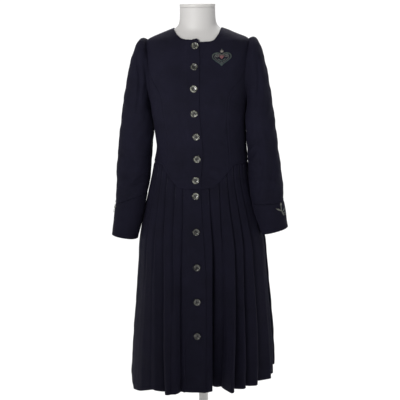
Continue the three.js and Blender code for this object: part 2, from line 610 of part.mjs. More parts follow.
// The cloth's middle line round one quarter of the skirt, as angles from the centre front
// or back and distances from the skirt's mean surface. Each pleat is a face, a folded edge,
// the return behind the face and a second fold, from which the next face climbs out.
function quarterLine(pleats, share, start) {
  const open = openness(share);
  const edges = pleats.map(({ top, hem }) => mix(top, hem, share));
  const line = [...start];
  let rise = { angle: 1, r: 0 };             // where the face of the pleat starts
  pleats.forEach(({ ridge, drop }, i) => {
    const angle = edges[i];
    const gap = angle - (i === 0 ? 1 : edges[i - 1]);
    const top = open * ridge;
    const low = top - 2 * PLEAT_STACK - open * drop;
    const back = angle - UNDERFOLD * Math.min(gap, MAX_UNDERFOLD);
    const face = mix(rise.r, top, clamp01((back - rise.angle) / (angle - rise.angle)));
    const hidden = Math.min(low, face - 2 * PLEAT_STACK);
    line.push({ angle, r: top }, { angle, r: top - PLEAT_STACK });
    line.push({ angle: back, r: hidden + PLEAT_STACK }, { angle: back, r: hidden });
    if (i === pleats.length - 1) return;
    const next = pleats[i + 1];
    const climbed = mix(low + 2 * PLEAT_STACK, open * next.ridge, FACE_RISE.height);
    rise = { angle: mix(angle, edges[i + 1], FACE_RISE.share), r: climbed };
    line.push({ angle: angle + FACE_START.shut + FACE_START.open * open, r: low }, rise);
    const riseTop = mix(pleats[i].top, next.top, FACE_RISE.share);
    const knot = SEAM_KNOTS.find((a) => a > riseTop + 1 && a < next.top - 1);
    if (!knot) return;
    const way = (knot - riseTop) / (next.top - riseTop);
    line.push({ angle: mix(rise.angle, edges[i + 1], way), r: mix(climbed, open * next.ridge, way) });
  });
  line.push({ angle: 90, r: -2 * PLEAT_STACK - open * SIDE_SEAM_DEPTH, seam: true });
  return line;
}

// One quarter of the skirt. The middle line is laid round the dress at each level and the
// cloth's two faces are set off from it to either side, mitred at the folds.
function skirtPanel(side, back) {
  const pleats = (back ? BACK_PLEATS : FRONT_PLEATS)[side];
  const upper = !back && side < 0;
  const outer = [];
  const inner = [];
  for (const share of SKIRT_ROWS) {
    const place = (fromCentre) => {
      const angle = back ? 180 - fromCentre : fromCentre;
      const z = mix(waistSeam(angle) - WAIST_GAP / 2, hemHeight(angle, side), share);
      return { angle, z };
    };
    const centreLevel = place(0).z;
    const lift = upper ? SKIRT_CLOTH + SKIRT_LAP_GAP : 0;
    const lap = upper ? mix(LAP, SKIRT_LAP, smooth(share / 0.5)) : UNDERLAP;
    const easeEnd = mix(SKIRT_LAP_END.top, SKIRT_LAP_END.low, smooth(share / 0.5));
    const start = back ? [{ angle: 0, r: 0, seam: true }] : [
      { angle: -angleAt(lap, centreLevel), r: lift },
      { angle: 0, r: lift },
      { angle: angleAt(SKIRT_LAP_FLAT, centreLevel), r: lift },
      { angle: angleAt(easeEnd, centreLevel), r: 0 },
    ];
    const line = quarterLine(pleats, share, start).map(({ angle: fromCentre, r, seam }) => {
      const { angle, z } = place(fromCentre);
      const shift = seam ? turnFor(SKIRT_SEAM_GAP / 2, angle, z) : 0;
      const seated = angle + (back === fromCentre > 0 ? shift : -shift);
      const point = dressPoint(seated, z);
      const normal = dressNormal(seated, z).setZ(0).normalize();
      point.x += side * sway(z);
      return point.addScaledVector(normal, r - SKIRT_CLOTH / 2);
    });
    const offset = (amount) => line.map((point, j) => {
      const into = line[Math.max(j, 1)].clone().sub(line[Math.max(j, 1) - 1]).setZ(0).normalize();
      const onward = Math.min(j, line.length - 2);
      const out = line[onward + 1].clone().sub(line[onward]).setZ(0).normalize();
      const first = new THREE.Vector3(into.y, -into.x, 0);
      const second = new THREE.Vector3(out.y, -out.x, 0);
      const mitre = first.clone().add(second).normalize();
      const reach = amount / Math.max(mitre.dot(first), 0.5);
      const moved = point.clone().addScaledVector(mitre, reach);
      moved.x *= side;
      return moved;
    });
    outer.push(offset((back ? -1 : 1) * SKIRT_CLOTH / 2));
    inner.push(offset((back ? 1 : -1) * SKIRT_CLOTH / 2));
  }
  return wall(outer, inner);
}

for (const side of [-1, 1]) {
  const front = add(`skirt_front_${sideName(side)}`, skirtPanel(side, false), navyCloth);
  if (side < 0) laps.skirt = front;
  add(`skirt_back_${sideName(side)}`, skirtPanel(side, true), navyCloth);
}

// ---------------------------------------------------------------- buttons
// A turned button: flat back, rounded edge, raised rim and dished middle.
const buttonProfile = [
  [0, 0], [BUTTON_RADIUS - 1.6, 0], [BUTTON_RADIUS, 1.4], [BUTTON_RADIUS - 0.8, 3.2],
  [BUTTON_RADIUS - 2.4, 3.4], [BUTTON_RADIUS - 4.4, 2.2], [0, 2],
].map(([r, h]) => new THREE.Vector2(r, h));
const BUTTON_SEAT = 0.3;

BUTTON_HEIGHTS.forEach((z, i) => {
  const cloth = z > waistSeam(0) ? laps.bodice : laps.skirt;
  const normal = dressNormal(0, z);
  const above = dressPoint(0, z).addScaledVector(normal, 40);
  above.x += sway(z);
  const across = new THREE.Vector3(1, 0, 0);
  const up = normal.clone().cross(across);
  let drop = Infinity;
  for (let turn = 0; turn < 360; turn += 45) {
    for (const radius of [0, 5, 10]) {
      const from = above.clone()
        .addScaledVector(across, radius * Math.cos(radians(turn)))
        .addScaledVector(up, radius * Math.sin(radians(turn)));
      const hits = new THREE.Raycaster(from, normal.clone().negate()).intersectObject(cloth);
      if (hits.length) drop = Math.min(drop, hits[0].distance);
    }
  }
  const button = add(`button_${String(i + 1).padStart(2, '0')}`,
    new THREE.LatheGeometry(buttonProfile, 12), smokyPearl);
  button.quaternion.setFromUnitVectors(new THREE.Vector3(0, 1, 0), normal);
  button.position.copy(above).addScaledVector(normal, BUTTON_SEAT - drop);
});

// ---------------------------------------------------------------- dress form and stand
const FORM_COLUMNS = 24;
const SHOULDER_CLEARANCE = 2.4;              // under the cloth on the shoulders, which carry it
const TORSO_CLEARANCE = 6;
const SHOULDER_TIP_CUT = 7;                  // the form stops short of the sleeve heads
const TORSO_LEVELS = [
  1080, 1115, 1150, 1190, 1230, 1270, 1310, 1350, 1380, 1402, 1415, 1423, 1430, 1437, 1445,
];

function ringOf(pointAt) {
  return Array.from({ length: FORM_COLUMNS }, (_, j) => {
    const point = pointAt((360 * j) / FORM_COLUMNS);
    return point.setX(point.x + sway(point.z));
  });
}

// The torso inside the dress: free of the cloth down the body, close under it on top of the
// shoulders and a little shorter than it at their tips.
function torsoPoint(angle, z) {
  const sideways = Math.abs(Math.sin(radians(angle)));
  const onShoulder = smooth((z - 1395) / 25) * smooth((sideways - 0.3) / 0.5);
  const body = mix(TORSO_CLEARANCE, TORSO_CLEARANCE - 2, smooth((z - 1380) / 30));
  const atTip = smooth((sideways - 0.75) / 0.2) * (1 - smooth((z - 1412) / 14));
  const clearance = mix(body, SHOULDER_CLEARANCE, onShoulder) + SHOULDER_TIP_CUT * atTip;
  return dressPoint(angle, z).addScaledVector(dressNormal(angle, z), -CLOTH - clearance);
}

const hipLevels = HIP_SECTIONS.map(({ z }) => z).reverse();
const torsoRings = [
  ...hipLevels.map((z) => ringOf((angle) => sectionPoint(HIP_SECTIONS, angle, z))),
  ...TORSO_LEVELS.map((z) => ringOf((angle) => torsoPoint(angle, z))),
  ...NECK_SECTIONS.filter(({ z }) => z <= NECK_CUT)
    .map(({ z }) => ringOf((angle) => sectionPoint(NECK_SECTIONS, angle, z))),
];
add('form_torso', stackedSolid(torsoRings), formWhite);

const capRing = (z, inset) => ringOf((angle) => {
  const point = sectionPoint(NECK_SECTIONS, angle, z);
  return point.addScaledVector(new THREE.Vector3(point.x, point.y, 0).normalize(), -inset);
});
add('form_neck_cap', stackedSolid([
  capRing(NECK_CUT + SEAM_GAP, 0.4), capRing(NECK_CUT + 1.5, -0.6), capRing(NECK_TOP - 2.5, -0.6),
  capRing(NECK_TOP - 0.6, 1), capRing(NECK_TOP, 3.5),
]), formWhite);

const turned = (profile, segments) => {
  const points = profile.map(([r, h]) => new THREE.Vector2(r, h));
  const geometry = new THREE.LatheGeometry(points, segments);
  geometry.rotateX(Math.PI / 2);
  return geometry;
};
add('stand_pole', turned([
  [0, BASE_HEIGHT + SEAM_GAP], [FOOT_RADIUS, BASE_HEIGHT + SEAM_GAP], [FOOT_RADIUS, BASE_HEIGHT + 5],
  [POLE_RADIUS + 4, BASE_HEIGHT + 9], [POLE_RADIUS, BASE_HEIGHT + 18],
  [POLE_RADIUS, FORM_BOTTOM - SEAM_GAP], [0, FORM_BOTTOM - SEAM_GAP],
], 24), standPaint);
add('stand_base', turned([
  [0, 0], [BASE_RADIUS - 3, 0], [BASE_RADIUS, 3], [BASE_RADIUS, 8],
  [BASE_RADIUS - 6, BASE_HEIGHT - 1], [BASE_RADIUS - 16, BASE_HEIGHT], [0, BASE_HEIGHT],
], 40), standPaint);

export default part;
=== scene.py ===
"""A front-buttoned dirndl coat dress in dark navy wool, on a limbless dress form and stand.

Sizes are in millimetres until a mesh is made. Angles on the garment are in degrees from the
centre front, towards either side, up to 180 at the centre back. side is +1 for the wearer's
left (+X) and -1 for the wearer's right. A grid is an array of points, rows by columns by 3.
"""
import bpy
import math
import numpy as np
from mathutils import Matrix, Vector


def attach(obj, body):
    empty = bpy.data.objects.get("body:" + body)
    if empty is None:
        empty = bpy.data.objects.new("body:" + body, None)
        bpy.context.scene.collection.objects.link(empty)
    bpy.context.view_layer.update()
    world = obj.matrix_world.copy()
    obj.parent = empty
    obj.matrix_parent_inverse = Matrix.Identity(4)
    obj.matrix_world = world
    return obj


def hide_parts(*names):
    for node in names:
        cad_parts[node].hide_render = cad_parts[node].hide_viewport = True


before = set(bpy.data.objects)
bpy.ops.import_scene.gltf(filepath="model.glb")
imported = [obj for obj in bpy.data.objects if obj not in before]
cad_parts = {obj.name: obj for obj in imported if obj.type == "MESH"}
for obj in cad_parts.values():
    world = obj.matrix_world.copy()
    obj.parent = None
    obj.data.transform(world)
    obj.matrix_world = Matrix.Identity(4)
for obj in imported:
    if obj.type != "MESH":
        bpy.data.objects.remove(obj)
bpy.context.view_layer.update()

MM = 0.001

# ---------------------------------------------------------------- driving sizes, as in the CAD
CLOTH = 1.6
SKIRT_CLOTH = 1.5
LAP_RISE = CLOTH + 1.0           # the upper front above the lower one
NECK_LAP_RISE = CLOTH + 1.5
NECK_LAP_LEVEL = 1385
NECK_LAP_RUN = 25                # height over which the lap reaches its rise at the neck
SKIRT_LAP_RISE = SKIRT_CLOTH + 0.9
LAP = 16
SKIRT_LAP = 27
UNDERLAP = 14
LAP_EASE = (21, 37)              # where the upper front comes down to the body
SKIRT_LAP_FLAT = 18
SKIRT_LAP_END = (28, 36)
SHOULDER_TIP = 1415
BACK_NECK = 1437                 # the back's neckline at its centre
NECK_EDGE = 1451.7               # just under the top of the shoulder seams
LAP_NARROWS = (1357, 50, 5)      # level from which the lap narrows, over what height, by how much
ARMPIT = 1218
HEM = 330
PLEAT_STACK = 2.3
UNDERFOLD = 0.62
MAX_UNDERFOLD = 13
BUTTON_HEIGHTS = [1398, 1336, 1271, 1197, 1124, 1053, 988, 940, 832, 723, 616, 509]
LOW_TOP = 1058                   # bodice rows below this level follow the waist seam
POLE_RADIUS = 15
FOOT_RADIUS = 30
BASE_RADIUS = 185
BASE_HEIGHT = 14
FORM_BOTTOM = 805
NECK_CUT = 1515


def table(columns, rows):
    """A table with named columns, its rows sorted by the first one."""
    data = np.array(sorted(rows), float)
    return dict(zip(columns.split(), data.T))


# Sections round the axis at each level: half width, depth to the front and to the back, and the
# squareness of the oval. The dress's row gives the outer surface of its cloth.
SECTION = "z width front back square"
DRESS = table(SECTION, [
    (1452, 74, 50, 62, 2.0), (1437, 112, 58.5, 74, 2.0), (1423, 146, 66, 86, 2.05),
    (1415, 159, 70, 92, 2.1), (1405, 164, 74.5, 97, 2.15), (1385, 165.5, 83, 104, 2.2),
    (1350, 164, 97, 110, 2.25), (1310, 161, 110, 112, 2.3), (1270, 157, 121, 111, 2.3),
    (1230, 153, 126, 108, 2.3), (1190, 149, 122, 104, 2.25), (1150, 145.5, 113, 99, 2.2),
    (1110, 143.5, 106, 95.5, 2.2), (1080, 143, 104, 95, 2.2), (1050, 146, 106, 98, 2.2),
    (1020, 150.5, 110, 104, 2.15), (990, 155, 115, 111, 2.1), (960, 161, 120, 119, 2.1),
    (920, 170.5, 129, 130, 2.05), (880, 180.5, 138, 141, 2.0), (830, 191.5, 149, 151, 2.0),
    (777, 200, 157, 160, 2.0), (700, 204.5, 166, 169, 2.0), (620, 209.5, 173, 176, 2.0),
    (540, 215, 180, 182, 2.0), (480, 218.5, 185, 187, 2.0), (435, 221, 189, 191, 2.0),
    (390, 222, 192, 194, 2.0), (285, 224, 198, 200, 2.0),
])
HIPS = table(SECTION, [
    (1050, 137, 97, 89, 2.2), (1020, 140, 100, 94, 2.15), (985, 144, 103, 100, 2.1),
    (940, 150, 107, 108, 2.1), (890, 153, 110, 113, 2.1), (845, 150, 108, 111, 2.1),
    (820, 143, 102, 105, 2.1), (805, 128, 90, 92, 2.1),
])
NECK = table(SECTION, [
    (1452, 68, 46.5, 57.5, 2.0), (1462, 60, 46, 56, 2.0), (1480, 56, 46, 55, 2.0),
    (1515, 55, 46, 55, 2.0), (1524, 54.5, 45.5, 54.5, 2.0),
])
# How far the dress, and the form in it, lean to the wearer's left at each level.
SWAY = table("z by", [
    (1184, 0), (1130, 3), (1077, 6), (1024, 3), (970, 0.5), (880, 2.5), (777, 5.5), (620, 6.4),
    (480, 5.9), (285, 3),
])
WAIST_SEAM = table("angle z", [
    (0, 960), (20, 965), (46, 1027), (52, 1032), (104, 1032), (180, 1012),
])
# The necklines of the two fronts start at their lapping edges.
NECKLINE_FRONT = {
    -1: table("z angle", [
        (1415, 0), (1418, 10), (1423, 18), (1430, 25), (1437, 34), (1441, 40), (1445, 48),
        (1449, 62), (1452, 90)]),
    1: table("z angle", [
        (1409.5, -5), (1410.5, 3), (1412, 14.5), (1415, 19), (1418, 21.5), (1423, 24.8),
        (1430, 31), (1437, 39.5), (1441, 45.5), (1445, 52.5), (1449, 65), (1452, 90)]),
}
# The upper front's neckline stands up in a small corner here: place, width and height.
NECK_CORNER = (4, 6, 5)
# Height of the hem round each half.
HEM_LINE = {
    -1: table("angle z", [
        (0, 330), (12.5, 328), (24.5, 320), (38, 324), (52, 308), (66, 298), (72, 328),
        (80, 350), (100, 350), (116, 343), (135, 335), (180, 330)]),
    1: table("angle z", [
        (0, 330), (12.5, 330), (24.5, 331), (38, 333), (52, 335), (66, 338), (72, 340),
        (80, 342), (100, 352), (116, 344), (135, 336), (180, 330)]),
}
NECKLINE_BACK = table("z angle", [(1437, 180), (1441, 158), (1445, 137), (1449, 114), (1452, 90)])
PRINCESS_FRONT = table("z angle", [
    (950, 40), (1190, 39), (1224, 38.8), (1241, 39.6), (1267, 44), (1299, 57), (1334, 67.3),
])
PRINCESS_BACK = table("z angle", [
    (950, 142), (1190, 141), (1241, 139), (1267, 134), (1299, 124), (1334, 110.7),
])
PRINCESS_TOP = 1333.6            # the level where the princess seams meet the armhole
ARMHOLE_MIDDLE = (SHOULDER_TIP + ARMPIT) / 2
ARMHOLE_HALF = (SHOULDER_TIP - ARMPIT) / 2
ARMHOLE_FRONT = 23
ARMHOLE_BACK = 21
ARMHOLE_FULLNESS = 0.85

# Sleeve sections from the head down: outer end (x, z), inner end (x, z), shift towards the
# front, half the depth, and the share of the cuff's slant at the seam and at the hem.
SLEEVE_SECTIONS = [
    (169, 1420, 153, 1216, 0, 47, 0, 0), (179, 1418.5, 152, 1208, 0, 50, 0, 0),
    (189, 1407, 151, 1201, 0, 52, 0, 0), (197.5, 1387, 150, 1194, 0, 54, 0, 0),
    (207, 1356, 148, 1186, -1, 55, 0, 0), (217, 1312, 145, 1177, -2, 56, 0, 0),
    (226, 1262, 143, 1164, -3, 56, 0, 0), (234, 1212, 143, 1147, -4, 56, 0, 0),
    (241, 1162, 145, 1122, -5, 55, 0, 0), (248, 1109, 149, 1090, -6, 54, 0, 0),
    (253.5, 1062, 152.5, 1054, -9, 53, 0, 0), (259.5, 1014, 155, 1012, -14, 52, 0.1, 0),
    (262.5, 968, 157, 974, -21, 50, 0.4, 0), (264.5, 932, 161, 942, -28, 47.5, 0.8, 0),
    (265.5, 906, 166, 919, -33, 45.5, 1, 0),
]
CUFF_SECTIONS = [
    (266, 905.6, 165.5, 918.6, -33, 46.8, 1, 0), (271, 872, 174, 876, -36, 45.5, 0.6, 0.35),
    (275, 838, 185, 834, -39, 44.5, 0.3, 0.7), (279, 803, 199, 790, -42, 43.5, 0, 1),
]
CUFF_SLANT = {
    1: {"seam_in": -15, "seam_out": 5, "hem_in": 18, "hem_out": 27},
    -1: {"seam_in": 17, "seam_out": -5, "hem_in": -1, "hem_out": 0},
}
# How much further out than the table the outer end of each sleeve runs, by level.
SLEEVE_FULLNESS = {
    -1: table("z by", [(1421, 1), (1390, 3.5), (1300, 6.5), (1200, 8), (1080, 8), (1030, 6.5),
                       (970, 3.5), (880, 2.5), (760, 2)]),
    1: table("z by", [(1421, 0), (1390, 0.5), (1300, 0), (1200, -2), (1080, -2), (1030, -1.5),
                      (970, 1.5), (880, 2), (760, 1.5)]),
}
# How far each sleeve and cuff keeps off the side of the dress, by level.
SLEEVE_CLEARANCE = {
    -1: table("z off", [(1420, 1.7), (1250, 0.8), (1225, 0.3), (1180, 0.3), (1150, 1.7),
                        (1000, 1.7), (940, 2.5), (870, 4.1), (760, 8.8)]),
    1: table("z off", [(1420, 1.7), (1250, 0.8), (1225, 0.3), (1190, 0.3), (1174, 4.0),
                       (1155, 8.0), (1120, 8.0), (1080, 6.0), (1050, 4.2), (1030, 1.5),
                       (1018, 0.6), (985, 0.6),
                       (940, 2.5), (870, 4.1), (760, 8.8)]),
}
SLEEVE_SQUARE = 2.25

# Knife pleats, all folded away from the centre: angle of the folded edge at the waist seam
# and at the hem, how far it stands out at the hem, how far the cloth drops behind it, and the
# share of the way down from which the fold dies out.
LASTING = 9
PLEATS = {
    ("front", -1): [(13, 12.5, 4, 3, LASTING), (23, 18, 22, 2, 0.42), (36, 24.5, 27, 41, LASTING),
                    (46, 38, 14, 3, 0.28), (57, 52, 22, 3, 0.34), (69, 66, 20, 4, 0.5),
                    (82, 80, 18, 34, LASTING)],
    ("front", 1): [(13.5, 12.5, -3, 54, LASTING), (25, 20.5, -42, 2, 0.16),
                   (36, 28.5, 28, 48, LASTING), (46, 40.5, 12, 36, LASTING),
                   (57, 53, 15, 38, LASTING), (69, 72, 17, 20, LASTING), (82, 84, 8, 24, LASTING)],
    ("back", -1): [(14, 13, 9, 23, LASTING), (26, 23, 10, 3, 0.45), (37, 33, 15, 29, LASTING),
                   (48, 46, 8, 24, LASTING), (60, 57, 13, 4, 0.4), (72, 70, 20, 37, LASTING),
                   (83, 82, 20, 36, LASTING)],
    ("back", 1): [(14, 14, 12, 28, LASTING), (25, 27, 8, 23, LASTING), (37, 36, 11, 4, 0.35),
                  (49, 46, 17, 32, LASTING), (60, 58, 13, 5, 0.5), (71, 69, 18, 32, LASTING),
                  (83, 81, 12, 28, LASTING)],
}

# What was cut for each shown piece before sewing: width, length and flat area, in metres.
CUTS = {
    "bodice_front_right": (0.200, 0.500, 0.068), "bodice_front_left": (0.198, 0.500, 0.067),
    "bodice_side_front": (0.115, 0.320, 0.026), "bodice_side_back": (0.115, 0.320, 0.026),
    "bodice_back": (0.180, 0.450, 0.062),
    "sleeve": (0.500, 0.560, 0.147), "cuff_left": (0.310, 0.105, 0.0275),
    "cuff_right": (0.325, 0.150, 0.037),
    "skirt_front_right": (0.740, 0.700, 0.400), "skirt_front_left": (0.740, 0.700, 0.450),
    "skirt_back": (0.730, 0.700, 0.430),
}


# ---------------------------------------------------------------- small helpers
def smooth(t):
    """0 below 0, 1 above 1, and an S-curve between them."""
    t = np.clip(t, 0, 1)
    return t * t * (3 - 2 * t)


def mix(a, b, t):
    return a + (b - a) * t


def bump(distance, width):
    """A bell of height 1 round distance 0."""
    return np.exp(-(distance / width) ** 2)


def unit(v):
    return v / np.maximum(np.linalg.norm(v, axis=-1, keepdims=True), 1e-12)


def signed_power(value, power):
    return np.sign(value) * np.abs(value) ** power


def along(tab, column, at, by="z"):
    """Smooth value of one column: cubic pieces through the rows, with each row's slope taken
    from its two neighbours."""
    key, value = tab[by], tab[column]
    n = len(key)
    before = np.maximum(np.arange(n) - 1, 0)
    after = np.minimum(np.arange(n) + 1, n - 1)
    slope = (value[after] - value[before]) / (key[after] - key[before])
    i = np.clip(np.searchsorted(key, at, side="right") - 1, 0, n - 2)
    span = key[i + 1] - key[i]
    t = np.clip((at - key[i]) / span, 0, 1)
    return (mix(value[i], value[i + 1], smooth(t))
            + span * (slope[i] * t * (1 - t) ** 2 - slope[i + 1] * t * t * (1 - t)))


def section_point(tab, angle, z):
    """A superellipse round the axis: x = width sin^(2/n), y = -front or +back depth cos^(2/n)."""
    angle, z = np.broadcast_arrays(np.asarray(angle, float), np.asarray(z, float))
    power = 2 / along(tab, "square", z)
    s, c = np.sin(np.radians(angle)), np.cos(np.radians(angle))
    depth = np.where(c > 0, along(tab, "front", z), along(tab, "back", z))
    x = along(tab, "width", z) * signed_power(s, power)
    return np.stack([x, -depth * signed_power(c, power), z], -1)


def section_normal(tab, angle, z):
    """Outward normal, from small steps round and up the surface."""
    low, high = tab["z"][0], tab["z"][-1]
    angle, z = np.broadcast_arrays(np.asarray(angle, float), np.asarray(z, float))
    around = section_point(tab, angle + 0.6, z) - section_point(tab, angle - 0.6, z)
    up = (section_point(tab, angle, np.minimum(z + 1.5, high))
          - section_point(tab, angle, np.maximum(z - 1.5, low)))
    return unit(np.cross(around, up))


def dress_point(angle, z):
    return section_point(DRESS, angle, z)


def dress_normal(angle, z):
    return section_normal(DRESS, angle, z)


def angle_at(x, z):
    """Angle at which the dress, near its centre, is x away from the centre."""
    share = np.clip(np.abs(x) / along(DRESS, "width", z), 0, 1)
    return np.sign(x) * np.degrees(np.arcsin(share ** (along(DRESS, "square", z) / 2)))


def dress_half_width(y, z):
    """Half width of the dress at a level, at a distance y in front of or behind its axis."""
    square = along(DRESS, "square", z)
    depth = np.where(y < 0, along(DRESS, "front", z), along(DRESS, "back", z))
    share = np.minimum(1, np.abs(y) / depth)
    return along(DRESS, "width", z) * (1 - share ** square) ** (1 / square)


def sway(z):
    return along(SWAY, "by", z)


def turn_for(distance, angle, z):
    """The small turn of the angle that moves a point of the dress by a distance round it."""
    step = dress_point(angle + 0.5, z) - dress_point(angle - 0.5, z)
    return distance / np.linalg.norm(step, axis=-1)


def waist_seam(angle):
    return np.interp(np.abs(angle), WAIST_SEAM["angle"], WAIST_SEAM["z"])


def ends_dense(count):
    """count places from 0 to 1 that crowd together at both ends, as a cosine does."""
    return 0.5 - 0.5 * np.cos(np.linspace(0, math.pi, count))


def grid_normals(grid, wrap):
    """Unit normals of a grid, from the cross product of its steps along and across."""
    across = np.gradient(grid, axis=1)
    if wrap:
        across = np.roll(grid, -1, axis=1) - np.roll(grid, 1, axis=1)
    return unit(np.cross(np.gradient(grid, axis=0), across))


# ---------------------------------------------------------------- meshes
def make_mesh(name, points, faces, material, uv=None):
    """A piece from points in millimetres and faces; uv is one pair for each point."""
    mesh = bpy.data.meshes.new(name)
    mesh.from_pydata((np.asarray(points) * MM).tolist(), [], [list(f) for f in faces])
    if uv is not None:
        loops = np.zeros(len(mesh.loops), np.int32)
        mesh.loops.foreach_get("vertex_index", loops)
        layer = mesh.uv_layers.new(name="cloth")
        layer.data.foreach_set("uv", np.asarray(uv, np.float32)[loops].ravel())
    mesh.polygons.foreach_set("use_smooth", np.ones(len(mesh.polygons), bool))
    mesh.materials.append(material)
    mesh.validate()
    mesh.update()
    piece = bpy.data.objects.new(name, mesh)
    bpy.context.scene.collection.objects.link(piece)
    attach(piece, "root")
    return piece


def quads(first, second, wrap):
    """Faces between two rows of point numbers."""
    a, b = first, second
    if wrap:
        a, b = np.append(a, a[0]), np.append(b, b[0])
    return np.stack([a[:-1], a[1:], b[1:], b[:-1]], -1)


def grid_faces(numbers, wrap):
    """Faces of a whole grid of point numbers."""
    return np.concatenate([quads(numbers[i], numbers[i + 1], wrap)
                           for i in range(len(numbers) - 1)])


def cloth_lengths(grid):
    """Distances over the cloth: across each row from its first column, and down each column,
    in millimetres. They carry the weave."""
    step = np.linalg.norm(np.diff(grid, axis=1), axis=-1)
    across = np.concatenate([np.zeros((len(grid), 1)), np.cumsum(step, axis=1)], axis=1)
    middle = across[:, across.shape[1] // 2]
    down = np.linalg.norm(np.diff(grid, axis=0), axis=-1)
    length = np.concatenate([np.zeros((1, grid.shape[1])), np.cumsum(down, axis=0)], axis=0)
    return np.stack([across - middle[:, None], length], -1)


def cloth_shell(name, outer, inner, material, wrap=False):
    """A wall of cloth: an outer and an inner grid, joined round the edges by a rounded rim,
    whose middle stands out of the edge by a third of the wall."""
    rows, columns = outer.shape[:2]
    count = rows * columns
    numbers = np.arange(count).reshape(rows, columns)
    points = [outer.reshape(-1, 3), inner.reshape(-1, 3)]
    lengths = cloth_lengths(outer)
    uv = [lengths.reshape(-1, 2)] * 2
    faces = [grid_faces(numbers, wrap), grid_faces(numbers + count, wrap)[:, ::-1]]
    if wrap:
        rims = [(numbers[0], numbers[1]), (numbers[-1][::-1], numbers[-2][::-1])]
    else:
        border = np.concatenate([numbers[0, :-1], numbers[:-1, -1], numbers[-1, :0:-1],
                                 numbers[:0:-1, 0]])
        inside = np.concatenate([numbers[1, :-1], numbers[:-1, -2], numbers[-2, :0:-1],
                                 numbers[:0:-1, 1]])
        rims = [(border, inside)]
    flat_outer, flat_inner = points[0], points[1]
    for border, inside in rims:
        middle = (flat_outer[border] + flat_inner[border]) / 2
        wall = np.linalg.norm(flat_outer[border] - flat_inner[border], axis=-1, keepdims=True)
        out = unit(flat_outer[border] - flat_outer[inside])
        start = sum(len(p) for p in points)
        points.append(middle + out * wall / 3)
        uv.append(lengths.reshape(-1, 2)[border])
        ring = np.arange(start, start + len(border))
        faces.append(quads(ring, border, True))
        faces.append(quads(border + count, ring, True))
    points = np.concatenate(points)
    faces = np.concatenate(faces)
    corner = points[faces]
    volume = np.einsum("ij,ij->", corner[:, 0], np.cross(corner[:, 1], corner[:, 2]))
    volume += np.einsum("ij,ij->", corner[:, 0], np.cross(corner[:, 2], corner[:, 3]))
    if volume < 0:
        faces = faces[:, ::-1]
    return make_mesh(name, points, faces, material, np.concatenate(uv) * MM)


def turned(profile, count=96):
    """Grid of a profile of (radius, height) turned round the Z axis."""
    profile = np.array(profile, float)
    turn = np.linspace(0, 2 * math.pi, count, endpoint=False)
    r, z = profile[:, 0][:, None], profile[:, 1][:, None]
    return np.stack([r * np.cos(turn), r * np.sin(turn), z + 0 * turn], -1)


def rounded_profile(corners, radius, steps=5):
    """A profile with its inner corners rounded: each becomes a quadratic curve that starts
    and ends radius away from it, or half way to its neighbour where that is nearer."""
    corners = np.array(corners, float)
    points = [corners[0]]
    for before, here, after in zip(corners[:-2], corners[1:-1], corners[2:]):
        back, on = before - here, after - here
        a = here + unit(back) * min(radius, np.linalg.norm(back) / 2)
        b = here + unit(on) * min(radius, np.linalg.norm(on) / 2)
        for t in np.linspace(0, 1, steps):
            points.append((1 - t) ** 2 * a + 2 * t * (1 - t) * here + t * t * b)
    points.append(corners[-1])
    return np.array(points)


def solid_of_rings(name, grid, material):
    """A closed solid through rings, from the bottom up, with a flat fan at each end."""
    rows, columns = grid.shape[:2]
    numbers = np.arange(rows * columns).reshape(rows, columns)
    points = np.concatenate([grid.reshape(-1, 3), grid[:1].mean(1), grid[-1:].mean(1)])
    low, high = rows * columns, rows * columns + 1
    faces = grid_faces(numbers, True).tolist()
    for ring, centre, flip in ((numbers[0], low, True), (numbers[-1], high, False)):
        for a, b in zip(ring, np.roll(ring, -1)):
            faces.append([centre, b, a] if flip else [centre, a, b])
    return make_mesh(name, points, faces, material)


def tube_strips(paths, radius, sides=5):
    """Points and faces of many short threads at once: paths is an array of threads by points
    by 3, and each thread is a tube that narrows at its ends."""
    count, steps = paths.shape[:2]
    ahead = unit(np.gradient(paths, axis=1))
    side = unit(np.cross(ahead, np.array([0.21, 0.33, 0.92])))
    over = np.cross(ahead, side)
    turn = np.linspace(0, 2 * math.pi, sides, endpoint=False)
    taper = np.sqrt(np.clip(1 - np.linspace(-0.96, 0.96, steps) ** 4, 0, 1))
    size = radius * taper[None, :, None, None]
    ring = (side[:, :, None] * np.cos(turn)[None, None, :, None]
            + over[:, :, None] * np.sin(turn)[None, None, :, None])
    points = paths[:, :, None] + ring * size
    numbers = np.arange(count * steps * sides).reshape(count, steps, sides)
    a, b = numbers[:, :-1], numbers[:, 1:]
    faces = np.stack([a, np.roll(a, -1, axis=2), np.roll(b, -1, axis=2), b], -1).reshape(-1, 4)
    ends = np.concatenate([numbers[:, 0, ::-1], numbers[:, -1]])
    return points.reshape(-1, 3), faces.tolist() + ends.tolist()


# ---------------------------------------------------------------- materials
def new_group(name, inputs, outputs):
    """An empty node group with named sockets: each is (kind, name, default)."""
    group = bpy.data.node_groups.new(name, "ShaderNodeTree")
    for direction, sockets in (("INPUT", inputs), ("OUTPUT", outputs)):
        for kind, label, default in sockets:
            made = group.interface.new_socket(label, in_out=direction,
                                              socket_type="NodeSocket" + kind)
            if default is not None:
                made.default_value = default
    entry = group.nodes.new("NodeGroupInput")
    leave = group.nodes.new("NodeGroupOutput")
    return group, entry.outputs, leave.inputs


def node(tree, kind, settings=None, **inputs):
    """A node with its settings and inputs; an input given as a socket is linked."""
    made = tree.nodes.new("ShaderNode" + kind)
    for key, value in (settings or {}).items():
        setattr(made, key, value)
    for key, value in inputs.items():
        socket = made.inputs[int(key[1:])] if key[0] == "i" and key[1:].isdigit() \
            else made.inputs[key.replace("_", " ")]
        if isinstance(value, bpy.types.NodeSocket):
            tree.links.new(value, socket)
        else:
            socket.default_value = value
    return made


